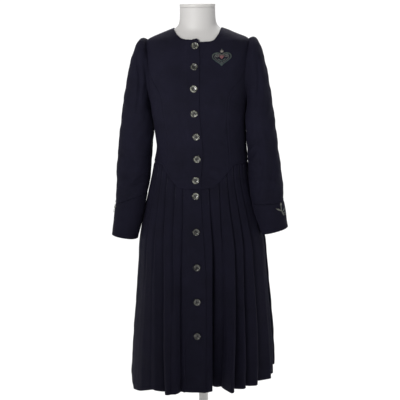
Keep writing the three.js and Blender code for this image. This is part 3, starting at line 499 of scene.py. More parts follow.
def maths(tree, operation, a, b=0.0, c=0.0):
    made = node(tree, "Math", {"operation": operation}, i0=a, i1=b, i2=c)
    return made.outputs[0]


def blend_colour(tree, share, a, b):
    made = node(tree, "Mix", {"data_type": "RGBA"})
    for socket, value in ((made.inputs[0], share), (made.inputs[6], a), (made.inputs[7], b)):
        if isinstance(value, bpy.types.NodeSocket):
            tree.links.new(value, socket)
        else:
            socket.default_value = value
    return made.outputs[2]


def woven_cloth_group():
    """Twill: fine slanting ribs along the cloth's own lengths, each thread a little uneven,
    with soft mottling and a faint pressed sheen in patches. Its colour is also darker in the
    weave's furrows and lighter on its raised ribs and fuzz, a painted shade of the weave."""
    group, given, out = new_group("woven_cloth", [
        ("Vector", "Lengths", None), ("Color", "Deep", (0, 0, 0, 1)),
        ("Color", "Raised", (0, 0, 0, 1)), ("Float", "Rib", 0.0011),
    ], [("Color", "Color", None), ("Float", "Roughness", None), ("Float", "Height", None)])
    parts = node(group, "SeparateXYZ", Vector=given["Lengths"])
    u, v = parts.outputs[0], parts.outputs[1]
    place = node(group, "NewGeometry").outputs["Position"]
    drift = node(group, "TexNoise", Vector=place, Scale=220.0, Detail=2.0).outputs["Fac"]
    across = maths(group, "ADD", u, maths(group, "MULTIPLY", v, 0.55))
    count = maths(group, "DIVIDE", across, given["Rib"])
    count = maths(group, "MULTIPLY_ADD", drift, 0.7, count)
    ribs = maths(group, "SINE", maths(group, "MULTIPLY", count, 2 * math.pi))
    weft = maths(group, "DIVIDE", v, maths(group, "MULTIPLY", given["Rib"], 0.5))
    threads = maths(group, "SINE", maths(group, "MULTIPLY", weft, 2 * math.pi))
    fuzz = node(group, "TexNoise", Vector=place, Scale=1400.0, Detail=3.0).outputs["Fac"]
    height = maths(group, "MULTIPLY_ADD", ribs, 0.5, maths(group, "MULTIPLY", threads, 0.2))
    height = maths(group, "ADD", height, fuzz)
    group.links.new(height, out["Height"])
    mottle = node(group, "TexNoise", Vector=place, Scale=16.0, Detail=4.0,
                  Roughness=0.6).outputs["Fac"]
    # Painted shade and highlight: the colour follows the ribs and fuzz of the height, darker in
    # the furrows and lighter on the crowns; the mottle adds random tone.
    lift = maths(group, "MULTIPLY_ADD", ribs, 0.16, maths(group, "MULTIPLY", fuzz, 0.5))
    lift = maths(group, "MULTIPLY_ADD", mottle, 0.7, lift)
    share = maths(group, "MULTIPLY_ADD", lift, 0.9, -0.1)
    share = node(group, "Clamp", Value=share).outputs[0]
    group.links.new(blend_colour(group, share, given["Deep"], given["Raised"]), out["Color"])
    rough = maths(group, "MULTIPLY_ADD", mottle, 0.2, 0.68)
    group.links.new(rough, out["Roughness"])
    return group


def fine_grain_group():
    """Small unevenness for painted, moulded and polished surfaces: a slow drift of colour and
    a fine orange peel."""
    group, given, out = new_group("fine_grain", [
        ("Color", "Base", (1, 1, 1, 1)), ("Color", "Drift", (1, 1, 1, 1)),
        ("Float", "Smooth", 0.4), ("Float", "Rough", 0.5),
    ], [("Color", "Color", None), ("Float", "Roughness", None), ("Float", "Height", None)])
    place = node(group, "TexCoord").outputs["Object"]
    slow = node(group, "TexNoise", Vector=place, Scale=9.0, Detail=3.0).outputs["Fac"]
    fine = node(group, "TexNoise", Vector=place, Scale=420.0, Detail=2.0).outputs["Fac"]
    group.links.new(blend_colour(group, slow, given["Base"], given["Drift"]), out["Color"])
    share = maths(group, "MULTIPLY_ADD", fine, 0.5, maths(group, "MULTIPLY", slow, 0.5))
    span = maths(group, "SUBTRACT", given["Rough"], given["Smooth"])
    group.links.new(maths(group, "MULTIPLY_ADD", share, span, given["Smooth"]),
                    out["Roughness"])
    group.links.new(fine, out["Height"])
    return group


WOVEN = woven_cloth_group()
GRAIN = fine_grain_group()


def new_material(name, viewport):
    material = bpy.data.materials.new(name)
    material.use_nodes = True
    material.diffuse_color = viewport
    tree = material.node_tree
    return material, tree, tree.nodes["Principled BSDF"]


def add_bump(tree, shader, height, distance, strength=1.0):
    made = node(tree, "Bump", Strength=strength, Distance=distance, Height=height)
    tree.links.new(made.outputs[0], shader.inputs["Normal"])


def cloth_material(name, deep, raised, rib, nap):
    """Woven wool: the weave group with a matt body and a soft nap seen at a slant."""
    material, tree, shader = new_material(name, raised)
    lengths = node(tree, "UVMap", {"uv_map": "cloth"}).outputs[0]
    weave = tree.nodes.new("ShaderNodeGroup")
    weave.node_tree = WOVEN
    tree.links.new(lengths, weave.inputs["Lengths"])
    weave.inputs["Deep"].default_value = deep
    weave.inputs["Raised"].default_value = raised
    weave.inputs["Rib"].default_value = rib
    tree.links.new(weave.outputs["Color"], shader.inputs["Base Color"])
    tree.links.new(weave.outputs["Roughness"], shader.inputs["Roughness"])
    add_bump(tree, shader, weave.outputs["Height"], 0.0002)
    shader.inputs["Specular IOR Level"].default_value = 0.07
    shader.inputs["Sheen Weight"].default_value = nap
    shader.inputs["Sheen Roughness"].default_value = 0.45
    shader.inputs["Sheen Tint"].default_value = (0.44, 0.40, 0.74, 1)
    return material


def grained_material(name, base, drift, smooth_end, rough_end, metallic=0.0, coat=0.0):
    material, tree, shader = new_material(name, base)
    grain = tree.nodes.new("ShaderNodeGroup")
    grain.node_tree = GRAIN
    grain.inputs["Base"].default_value = base
    grain.inputs["Drift"].default_value = drift
    grain.inputs["Smooth"].default_value = smooth_end
    grain.inputs["Rough"].default_value = rough_end
    tree.links.new(grain.outputs["Color"], shader.inputs["Base Color"])
    tree.links.new(grain.outputs["Roughness"], shader.inputs["Roughness"])
    add_bump(tree, shader, grain.outputs["Height"], 0.00015, 0.4)
    shader.inputs["Metallic"].default_value = metallic
    shader.inputs["Coat Weight"].default_value = coat
    return material


def pearl_material(name, light):
    """Smoky shell: grey-brown clouds drawn out in bands, with pale green and cream lights,
    under a clear polish. light is the brightness of its palest bands."""
    material, tree, shader = new_material(name, (light, light, light * 0.85, 1))
    place = node(tree, "TexCoord").outputs["Object"]
    warp = node(tree, "TexNoise", Vector=place, Scale=70.0, Detail=2.0)
    offset = node(tree, "VectorMath", {"operation": "MULTIPLY_ADD"}, i0=warp.outputs["Color"],
                  i1=(0.02, 0.02, 0.02), i2=place).outputs[0]
    clouds = node(tree, "TexNoise", Vector=offset, Scale=110.0, Detail=5.0,
                  Roughness=0.65).outputs["Fac"]
    bands = node(tree, "TexWave", {"bands_direction": "DIAGONAL"}, Vector=offset, Scale=38.0,
                 Distortion=6.0, Detail=2.0).outputs["Fac"]
    share = maths(tree, "MULTIPLY_ADD", bands, 0.45, maths(tree, "MULTIPLY", clouds, 0.6))
    ramp = node(tree, "ValToRGB", Fac=share)
    stops = [(0.25, (0.05 * light, 0.05 * light, 0.04 * light, 1)),
             (0.42, (0.25 * light, 0.25 * light, 0.20 * light, 1)),
             (0.60, (0.6 * light, 0.63 * light, 0.5 * light, 1)),
             (0.80, (light, light, 0.85 * light, 1))]
    ramp.color_ramp.elements[0].position, ramp.color_ramp.elements[0].color = stops[0]
    ramp.color_ramp.elements[1].position, ramp.color_ramp.elements[1].color = stops[-1]
    for position, colour in stops[1:-1]:
        ramp.color_ramp.elements.new(position).color = colour
    tree.links.new(ramp.outputs["Color"], shader.inputs["Base Color"])
    rough = maths(tree, "MULTIPLY_ADD", clouds, 0.2, 0.16)
    tree.links.new(rough, shader.inputs["Roughness"])
    add_bump(tree, shader, bands, 0.0001, 0.5)
    shader.inputs["Coat Weight"].default_value = 0.6
    shader.inputs["Coat Roughness"].default_value = 0.08
    return material


def thread_material(name, colour, roughness=0.6, sheen=0.3):
    """Embroidery and sewing thread: twisted strands, a little lighter on their crowns, a painted
    highlight.
    """
    material, tree, shader = new_material(name, (*colour, 1))
    place = node(tree, "TexCoord").outputs["Object"]
    strands = node(tree, "TexNoise", Vector=place, Scale=900.0, Detail=3.0).outputs["Fac"]
    # Painted highlight: the same noise makes the bump, so the strands are lighter where they stand
    # highest.
    dark = (*(c * 0.55 for c in colour), 1)
    light = (*(min(1, c * 1.35) for c in colour), 1)
    tree.links.new(blend_colour(tree, strands, dark, light), shader.inputs["Base Color"])
    tree.links.new(maths(tree, "MULTIPLY_ADD", strands, 0.3, roughness - 0.15),
                   shader.inputs["Roughness"])
    add_bump(tree, shader, strands, 0.0002, 0.8)
    shader.inputs["Sheen Weight"].default_value = sheen
    return material


NAVY = cloth_material("navy_wool", (0.0035, 0.0033, 0.0071, 1), (0.0132, 0.0125, 0.0262, 1),
                      0.0011, 0.03)
# The rim pearls are lighter copies of the shell: a painted highlight on the buttons' raised rims.
PEARL = pearl_material("smoky_pearl", 0.07)
PEARL_RIM_HIGHLIGHT = pearl_material("pearl_rim_highlight", 0.26)
# The dark pearls are darker copies of the shell: painted shade for the darker buttons.
DARK_PEARL = pearl_material("dark_pearl", 0.02)
DARK_PEARL_RIM_HIGHLIGHT = pearl_material("dark_pearl_rim_highlight", 0.08)
SHELL = grained_material("form_shell", (0.54, 0.53, 0.52, 1), (0.50, 0.49, 0.48, 1), 0.42, 0.6)
CAP = grained_material("form_cap", (0.56, 0.55, 0.53, 1), (0.52, 0.51, 0.49, 1), 0.38, 0.5)
PAINT = grained_material("stand_paint", (0.70, 0.69, 0.67, 1), (0.64, 0.63, 0.61, 1), 0.3, 0.45,
                         coat=0.2)
NAVY_THREAD = thread_material("navy_thread", (0.010, 0.011, 0.02), 0.5, 0.1)
BLACK_THREAD = thread_material("button_thread", (0.012, 0.012, 0.014), 0.5, 0.1)


# ---------------------------------------------------------------- creases in the cloth
def relief(x, z, folds):
    """Sum of soft ridges (height > 0) and troughs (< 0) seen from the front: each runs from
    one point to another, bows a little, is a bell across and fades towards its ends. A
    shallower trough runs beside each ridge, or a lower ridge beside each trough."""
    total = np.zeros(np.broadcast(x, z).shape)
    for (x0, z0), (x1, z1), width, height in folds:
        length = math.hypot(x1 - x0, z1 - z0)
        ux, uz = (x1 - x0) / length, (z1 - z0) / length
        along_it = (x - x0) * ux + (z - z0) * uz
        share = along_it / length
        bow = 0.06 * length * np.sin(math.pi * np.clip(share, 0, 1))
        away = (x - x0) * uz - (z - z0) * ux + bow
        fade = smooth((share + 0.12) / 0.35) * smooth((1.12 - share) / 0.35)
        fold = bump(away, width) - 0.45 * bump(away - 1.9 * width, width)
        total = total + height * fade * fold
    return total


def undulation(p, amount, size):
    """Slow, uneven waves over a surface, as cloth that isn't stretched flat has."""
    x, y, z = p[..., 0] / size, p[..., 1] / size, p[..., 2] / size
    return amount * (np.sin(2.1 * x + 1.3 * z + 0.4) * np.sin(1.7 * z - 0.9 * y + 1.1)
                     + 0.6 * np.sin(3.7 * x - 2.3 * z + 2.0 * y)
                     + 0.4 * np.sin(5.3 * z + 3.1 * y - 1.9 * x + 0.7))


# Drag lines of the bodice, for x towards the left side: they start at the buttons, the bust
# and the point of the waist seam.
BODICE_FOLDS = {
    1: [((36, 1024), (74, 1008), 6, 1.1), ((30, 1003), (66, 990), 5, -1.0),
        ((38, 1042), (84, 1034), 7, 0.8), ((24, 1186), (62, 1236), 12, 1.0),
        ((18, 1128), (56, 1142), 9, 0.8), ((20, 1060), (60, 1072), 8, 0.7),
        ((70, 1236), (112, 1262), 11, 1.4), ((30, 1320), (80, 1300), 14, 0.8),
        ((112, 1300), (128, 1352), 9, 1.2), ((88, 1120), (96, 1180), 7, 0.9),
        ((60, 1090), (100, 1080), 8, 0.6), ((118, 1240), (146, 1226), 6, 1.0)],
    -1: [((4, 1192), (-38, 1168), 12, 1.3), ((0, 1160), (-52, 1130), 13, -1.2),
         ((-24, 1066), (-66, 1076), 8, 0.7), ((-28, 1000), (-62, 984), 6, 0.9),
         ((-40, 1040), (-88, 1032), 7, 0.7), ((-72, 1240), (-116, 1262), 12, 1.3),
         ((-30, 1318), (-84, 1296), 14, 0.8), ((-112, 1298), (-134, 1350), 10, 1.2),
         ((-92, 1110), (-98, 1190), 8, 0.8), ((-118, 1240), (-146, 1222), 7, 1.0),
         ((-60, 1270), (-30, 1240), 12, 0.8)],
}
BODICE_CREASING = 1.5            # raises all the drag lines together
BACK_FOLDS = [
    ((10, 1120), (80, 1108), 9, 0.9), ((20, 1090), (110, 1070), 8, 0.8),
    ((-12, 1100), (-90, 1088), 9, 0.9), ((-24, 1150), (-100, 1128), 10, 0.8),
    ((60, 1330), (120, 1290), 12, 1.2), ((-60, 1330), (-122, 1286), 12, 1.1),
    ((90, 1240), (132, 1222), 8, 1.1), ((-92, 1236), (-134, 1218), 8, 1.1),
]


def bodice_relief(p, back, side):
    """Height of the drag lines and slow waves at points of the bodice."""
    folds = BACK_FOLDS if back else BODICE_FOLDS[side]
    return BODICE_CREASING * relief(p[..., 0], p[..., 2], folds) + undulation(p, 0.6, 34)


# ---------------------------------------------------------------- bodice
def armhole_angle(z, back):
    """The armhole's edge: an oval round the side, whose reach is sin(turn)^fullness."""
    turn = np.arccos(np.clip((z - ARMHOLE_MIDDLE) / ARMHOLE_HALF, -1, 1))
    reach = np.sin(turn) ** ARMHOLE_FULLNESS
    return 90 + (ARMHOLE_BACK if back else -ARMHOLE_FRONT) * reach


def panel_edges(kind, side, z):
    """Angles of a panel's centre edge and side edge at each level."""
    back = "back" in kind
    princess = along(PRINCESS_BACK if back else PRINCESS_FRONT, "angle", z)
    rim = np.where((z > ARMPIT) & (z < SHOULDER_TIP), armhole_angle(z, back), 90.0)
    if "side" in kind:
        outer = np.where(z > ARMPIT, rim, 90.0)
        return princess, outer
    outer = np.where(z < PRINCESS_TOP, princess, rim)
    if back:
        neckline = along(NECKLINE_BACK, "angle", np.maximum(z, NECKLINE_BACK["z"][0]))
        return np.where(z < NECKLINE_BACK["z"][0], 180.0, neckline), outer
    start, run, by = LAP_NARROWS
    lap = LAP - by * smooth((z - start) / run) if side < 0 else UNDERLAP
    tab = NECKLINE_FRONT[side]
    neckline = np.interp(z, tab["z"], tab["angle"])
    return np.where(z <= tab["z"][0], -angle_at(lap, z), neckline), outer


def lap_rise(x, z):
    """Height of the upper front over the lower one, easing down to the body beyond it."""
    rise = mix(LAP_RISE, NECK_LAP_RISE, smooth((z - NECK_LAP_LEVEL) / NECK_LAP_RUN))
    start, end = LAP_EASE
    return rise * (1 - smooth((x - start) / (end - start)))


# Rows that every panel has where the armhole's edge turns quickly, at its foot and its top.
ARMHOLE_ROWS = {"side": [ARMPIT, ARMPIT + 0.7, ARMPIT + 2.5],
                "middle": [SHOULDER_TIP - 1.5, SHOULDER_TIP]}
PANEL_COLUMNS = 46
BODY_ROWS = 84                   # from the low rows up to the neckline or the shoulder
SIDE_ROWS = 62
LOW_ROWS = 22                    # these follow the waist seam
BACK_NECK_ROWS = 16
FRONT_NECK_ROWS = 26
SEAM_TUCK = 0.25                 # neighbouring panels meet inside the seam's groove


def seam_profile(distance):
    """A sewn seam, by the distance from it: a groove at the stitching, and beside it the low
    swell of the cloth that is turned under."""
    return -0.9 * bump(distance, 1.5) + 0.4 * bump(distance - 5, 2.6)


def bodice_panel(kind, side):
    """One panel: at each level the angle runs from its centre edge to its side edge, and the
    point is the dress's at that angle and level, moved out by the height of the drag lines,
    the lap and the seams."""
    back, sided = "back" in kind, "side" in kind
    upper = kind == "front" and side < 0
    low = np.linspace(0, 1, LOW_ROWS) ** 1.3
    if sided:
        levels = mix(LOW_TOP, PRINCESS_TOP - 0.4, ends_dense(SIDE_ROWS))[1:]
    else:
        foot = BACK_NECK if back else NECKLINE_FRONT[side]["z"][0]
        over = np.linspace(0, 1, BACK_NECK_ROWS if back else FRONT_NECK_ROWS)[1:]
        levels = np.concatenate([np.linspace(LOW_TOP, foot, BODY_ROWS)[1:],
                                 mix(foot, NECK_EDGE, over ** (1.2 if back else 1.5))])
    levels = np.union1d(levels, ARMHOLE_ROWS["side" if sided else "middle"])
    share = np.concatenate([low, np.ones(len(levels))])[:, None]
    level = np.concatenate([np.full(len(low), float(LOW_TOP)), levels])[:, None]
    first, last = panel_edges(kind, side, level)
    seam_turn = turn_for(SEAM_TUCK, last, level) * np.sign(last - first)
    last = last + seam_turn
    if sided or back:
        first = first - seam_turn * (level < BACK_NECK)
    across = ends_dense(PANEL_COLUMNS)[None, :]
    angle = mix(first, last, across)
    z = np.where(share < 1, mix(waist_seam(angle) + 0.2, LOW_TOP, share), level + 0 * angle)
    if upper:
        place, spread, rise = NECK_CORNER
        x = dress_point(angle, z)[..., 0]
        z = z + rise * bump(x + place, spread) * smooth((z - 1400) / 14)
    point = dress_point(angle, z)
    normal = dress_normal(angle, z)
    mirrored = point * [side, 1, 1]
    height = bodice_relief(mirrored, back, side)
    if upper:
        height = height * smooth((point[..., 0] + 30) / 60) + lap_rise(point[..., 0], z)
    if kind == "front" and side > 0:
        height = height * smooth((point[..., 0] - 14) / 14)
    width = np.linalg.norm(np.diff(point, axis=1), axis=-1).sum(1)[:, None]
    from_side = (1 - across) * width
    height = height * smooth(from_side / 12) + seam_profile(from_side)
    if sided or back:
        sewn = np.where(level < BACK_NECK, 1.0, 0.0) if not sided else 1.0
        from_centre = across * width
        height = mix(height, height * smooth(from_centre / 12) + seam_profile(from_centre), sewn)
    from_waist = z - waist_seam(angle)
    height = height * smooth(from_waist / 10) + seam_profile(from_waist)
    lean = np.stack([sway(z), 0 * z, 0 * z], -1)
    outer = (point + normal * height[..., None]) * [side, 1, 1] + lean
    inner = (point + normal * (height - CLOTH)[..., None]) * [side, 1, 1] + lean
    piece = cloth_shell(f"{PANEL_NAMES[kind]}_{SIDE_NAMES[side]}_cloth", outer, inner, NAVY)
    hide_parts(f"{PANEL_NAMES[kind]}_{SIDE_NAMES[side]}")
    return piece


SIDE_NAMES = {1: "left", -1: "right"}
PANEL_NAMES = {"front": "bodice_front", "side_front": "bodice_side_front",
               "side_back": "bodice_side_back", "back": "bodice_back"}


# ---------------------------------------------------------------- sleeves and cuffs
# Creases of the sleeves as seen from the front, by side: start, end, width, height.
SLEEVE_FOLDS = {
    -1: [((-186, 1362), (-190, 1190), 5, -1.6), ((-172, 1350), (-178, 1230), 7, 1.2),
         ((-205, 985), (-158, 1004), 6, 2.2), ((-216, 963), (-160, 980), 5, -2.4),
         ((-236, 936), (-166, 956), 7, 1.8), ((-200, 1048), (-160, 1064), 8, 1.2),
         ((-240, 1010), (-200, 1036), 9, 1.0), ((-252, 962), (-222, 986), 7, 1.2),
         ((-168, 1180), (-196, 1150), 8, 1.2), ((-230, 1240), (-214, 1180), 9, 1.0),
         ((-176, 1120), (-214, 1100), 9, 0.9), ((-246, 1080), (-216, 1060), 8, 1.0)],
    1: [((202, 1146), (200, 936), 7, 2.4), ((226, 1120), (226, 950), 8, -2.0),
        ((188, 1100), (160, 1064), 6, 2.4), ((182, 1082), (158, 1046), 6, -2.2),
        ((170, 1050), (206, 1010), 7, 1.6), ((186, 1370), (182, 1210), 6, -1.6),
        ((196, 1350), (204, 1230), 8, 1.4), ((214, 1316), (226, 1250), 8, 0.9),
        ((240, 1190), (228, 1130), 7, 1.0), ((168, 1000), (196, 962), 7, 1.4),
        ((214, 990), (250, 962), 8, 1.0), ((174, 1180), (176, 1120), 6, 1.2)],
}
SLEEVE_BACK_FOLDS = [
    ((158, 1060), (212, 1086), 7, 2.2), ((162, 1030), (222, 1052), 7, -2.0),
    ((164, 1006), (214, 1014), 6, 1.7), ((180, 1320), (190, 1200), 8, -1.4),
    ((170, 960), (226, 985), 8, 1.4), ((206, 1260), (222, 1160), 8, 1.0),
]
TURNS = 112
SLEEVE_ROWS = 128
CUFF_ROWS = 34
SLEEVE_CREASING = 1.7            # raises all the creases together


def sleeve_root(side, turn):
    """Ring on the dress round the armhole, half a wall outside its edge."""
    def rim(angle):
        reach = np.abs(np.sin(np.radians(angle))) ** ARMHOLE_FULLNESS
        forward = np.mod(angle, 360) < 180
        at = 90 - reach * np.where(forward, ARMHOLE_FRONT, -ARMHOLE_BACK)
        return at, ARMHOLE_MIDDLE + ARMHOLE_HALF * np.cos(np.radians(angle))
    at, z = rim(turn)
    edge = dress_point(*rim(turn + 3)) - dress_point(*rim(turn - 3 + 360))
    normal = dress_normal(at, z)
    out = unit(np.cross(edge, normal))
    centre = dress_point(at, z) - normal * 0.6
    away = centre - np.stack([centre[:, 0], 0 * z, 0 * z + ARMHOLE_MIDDLE], -1)
    out = out * np.sign((out * away).sum(-1, keepdims=True))
    return (centre + out * CLOTH / 2) * [side, 1, 1]


def sleeve_ring(section, side, turn):
    """Oval from its outer end over the front to its inner end: a superellipse between the
    two ends, pushed off the side of the dress where it would sink into it."""
    out_x, out_z, in_x, in_z, shift, depth, slant, hem = section
    tilt = CUFF_SLANT[side]
    full = along(SLEEVE_FULLNESS[side], "by", out_z)
    end = np.array([out_x + full, out_z + slant * tilt["seam_out"] + hem * tilt["hem_out"]])
    start = np.array([in_x, in_z + slant * tilt["seam_in"] + hem * tilt["hem_in"]])
    middle, half = (start + end) / 2, (end - start) / 2
    across = signed_power(np.cos(np.radians(turn)), 2 / SLEEVE_SQUARE)
    forward = signed_power(np.sin(np.radians(turn)), 2 / SLEEVE_SQUARE)
    x, z = middle[0] + half[0] * across, middle[1] + half[1] * across
    return np.stack([x, shift - depth * forward, z], -1)


def fine_rings(rings, places, rows):
    """Many rings from a few: a cubic through the given ones, point by point."""
    at = np.linspace(places[0], places[-1], rows)
    flat = rings.reshape(len(rings), -1)
    before = np.maximum(np.arange(len(places)) - 1, 0)
    after = np.minimum(np.arange(len(places)) + 1, len(places) - 1)
    slope = (flat[after] - flat[before]) / (places[after] - places[before])[:, None]
    i = np.clip(np.searchsorted(places, at, side="right") - 1, 0, len(places) - 2)
    span = (places[i + 1] - places[i])[:, None]
    t = ((at - places[i]) / span[:, 0])[:, None]
    value = (mix(flat[i], flat[i + 1], t * t * (3 - 2 * t))
             + span * (slope[i] * t * (1 - t) ** 2 - slope[i + 1] * t * t * (1 - t)))
    return value.reshape(rows, *rings.shape[1:]), at


def clear_of_dress(rings, start, side):
    """Keeps the rings from a given row on at a small distance from the dress's side."""
    x, y, z = (rings[start:, :, k] for k in range(3))
    near = dress_half_width(y, z) + along(SLEEVE_CLEARANCE[side], "off", z) + side * sway(z)
    rings[start:, :, 0] = np.maximum(x, near)
    return rings


def tube_shell(name, rings, height, side, material):
    """Closed wall round a tube whose outer surface is the rings raised by the height."""
    normal = grid_normals(rings, True)
    middle = rings.mean(1, keepdims=True)
    outwards = np.sign((normal * (rings - middle)).sum(-1).mean())
    normal = normal * outwards
    outer = rings + normal * height[..., None]
    inner = rings + normal * (height - CLOTH)[..., None]
    return cloth_shell(name, outer * [side, 1, 1], inner * [side, 1, 1], material, wrap=True)


def sleeve(side):
    """Rings from the armhole down to the cuff's seam, with the head's ease and creases."""
    turn = np.linspace(0, 360, TURNS, endpoint=False)
    root = sleeve_root(1, turn)
    rings = np.stack([root] + [sleeve_ring(s, side, turn) for s in SLEEVE_SECTIONS])
    rings = clear_of_dress(rings, 1, side)
    length = np.linalg.norm(np.diff(rings, axis=0), axis=-1).mean(1)
    places = np.concatenate([[0], np.cumsum(length)])
    rings, at = fine_rings(rings, places, SLEEVE_ROWS)
    rings = clear_of_dress(rings, 3, side)
    down = at[:, None]
    facing = rings * [side, 1, 1]
    front = smooth((4 - facing[..., 1]) / 30)
    creases = relief(facing[..., 0], facing[..., 2], SLEEVE_FOLDS[side]) * front
    creases += relief(rings[..., 0], facing[..., 2], SLEEVE_BACK_FOLDS) * (1 - front)
    body = dress_half_width(rings[..., 1], rings[..., 2]) + side * sway(rings[..., 2])
    gap = rings[..., 0] - body
    near_body = smooth((gap - 3) / 8)
    head = smooth(np.cos(np.radians(turn))[None, :] * 1.6) * bump(down - 9, 12)
    gathers = 0.5 * head * np.sin(np.radians(turn)[None, :] * 34)
    cuff_seam = places[-1] - down
    fade = smooth(down / 10) * smooth(cuff_seam / 8)
    height = (SLEEVE_CREASING * creases + undulation(facing, 0.8, 30)) * near_body * fade
    height = height + gathers
    height = height + 1.2 * head + seam_profile(cuff_seam) * near_body
    piece = tube_shell(f"sleeve_{SIDE_NAMES[side]}_cloth", rings, height, side, NAVY)
    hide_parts(f"sleeve_{SIDE_NAMES[side]}")
    return piece


def cuff_rings(side, turn, rows):
    rings = np.stack([sleeve_ring(s, side, turn) for s in CUFF_SECTIONS])
    rings = clear_of_dress(rings, 0, side)
    length = np.linalg.norm(np.diff(rings, axis=0), axis=-1).mean(1)
    places = np.concatenate([[0], np.cumsum(length)])
    rings, at = fine_rings(rings, places, rows)
    return clear_of_dress(rings, 0, side), at


CUFF_FOLDS = {
    -1: [((-268, 830), (-232, 850), 10, 0.9), ((-250, 880), (-210, 870), 9, 0.8),
         ((-215, 812), (-190, 850), 8, -0.7)],
    1: [((262, 840), (230, 858), 10, 0.9), ((246, 890), (206, 880), 9, 0.8),
        ((214, 830), (190, 862), 8, -0.7)],
}


def cuff(side):
    """Rings from the cuff's seam to its hem, with a firm pressed edge and a stitched-down
    turning at the hem."""
    turn = np.linspace(0, 360, TURNS, endpoint=False)
    rings, at = cuff_rings(side, turn, CUFF_ROWS)
    down = at[:, None]
    from_hem = at[-1] - down
    facing = rings * [side, 1, 1]
    creases = relief(facing[..., 0], facing[..., 2], CUFF_FOLDS[side])
    height = (creases + undulation(facing, 0.35, 30)) * smooth(down / 12)
    height = height + seam_profile(down) + 0.5 * bump(from_hem, 6) - 0.4 * bump(from_hem - 24, 2)
    piece = tube_shell(f"cuff_{SIDE_NAMES[side]}_cloth", rings, height, side, NAVY)
    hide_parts(f"cuff_{SIDE_NAMES[side]}")
    return piece


# ---------------------------------------------------------------- pleated skirt
SKIRT_ROWS = 84
CREST_INSET = 2.2                # degrees from the crest of an open pleat to its folded edge
CREST_FALL = 4.5                 # and how much lower than the crest that edge lies
FACE_RISE = (0.3, 0.4)           # how soon and how far a face climbs at first
SIDE_SEAM_DEPTH = 16
PRESSED = 1.1                    # rounding of a fold that is pressed flat
FADE_RUN = 0.22                  # share of the height over which a fold dies out
# Where the corners behind a fold lie once it has died out: degrees past its edge, and
# millimetres below it.
DIED_TOP, DIED_LOW, DIED_FOOT = (0.8, 0.25), (1.3, 0.4), (2.0, 0.5)
PLEAT_WANDER = 0.8               # degrees a folded edge strays half way down
PLEAT_SWELL = 0.22               # share by which the drop behind it grows and shrinks


def hem_height(angle, side):
    return np.interp(np.abs(angle), HEM_LINE[side]["angle"], HEM_LINE[side]["z"])


def openness(share):
    """How far the pleats have opened on the way down: pressed flat at the top."""
    return np.clip((share - 0.05) / 0.95, 0, 1) ** 1.2


def round_corners(line, radius, steps, between):
    """Lines with their corners rounded, for all rows at once. Each corner becomes a quadratic
    curve between two points at the radius from it, and the straights between the curves
    are divided."""
    back = line[:, :-2] - line[:, 1:-1]
    on = line[:, 2:] - line[:, 1:-1]
    room_back = np.linalg.norm(back, axis=-1)
    room_on = np.linalg.norm(on, axis=-1)
    reach = np.minimum(radius, 0.48 * np.minimum(room_back, room_on))
    here = line[:, 1:-1]
    a = here + unit(back) * reach[..., None]
    b = here + unit(on) * reach[..., None]
    t = np.linspace(0, 1, steps)[None, None, :, None]
    curves = ((1 - t) ** 2 * a[:, :, None] + 2 * t * (1 - t) * here[:, :, None]
              + t * t * b[:, :, None])
    stops = [line[:, :1]]
    for k in range(curves.shape[1]):
        before = line[:, 0] if k == 0 else curves[:, k - 1, -1]
        parts = between[k]
        for step in range(1, parts + 1):
            stops.append(mix(before, a[:, k], step / (parts + 1))[:, None])
        stops.append(curves[:, k])
    for step in range(1, between[-1] + 1):
        stops.append(mix(curves[:, -1, -1], line[:, -1], step / (between[-1] + 1))[:, None])
    stops.append(line[:, -1:])
    return np.concatenate(stops, axis=1)


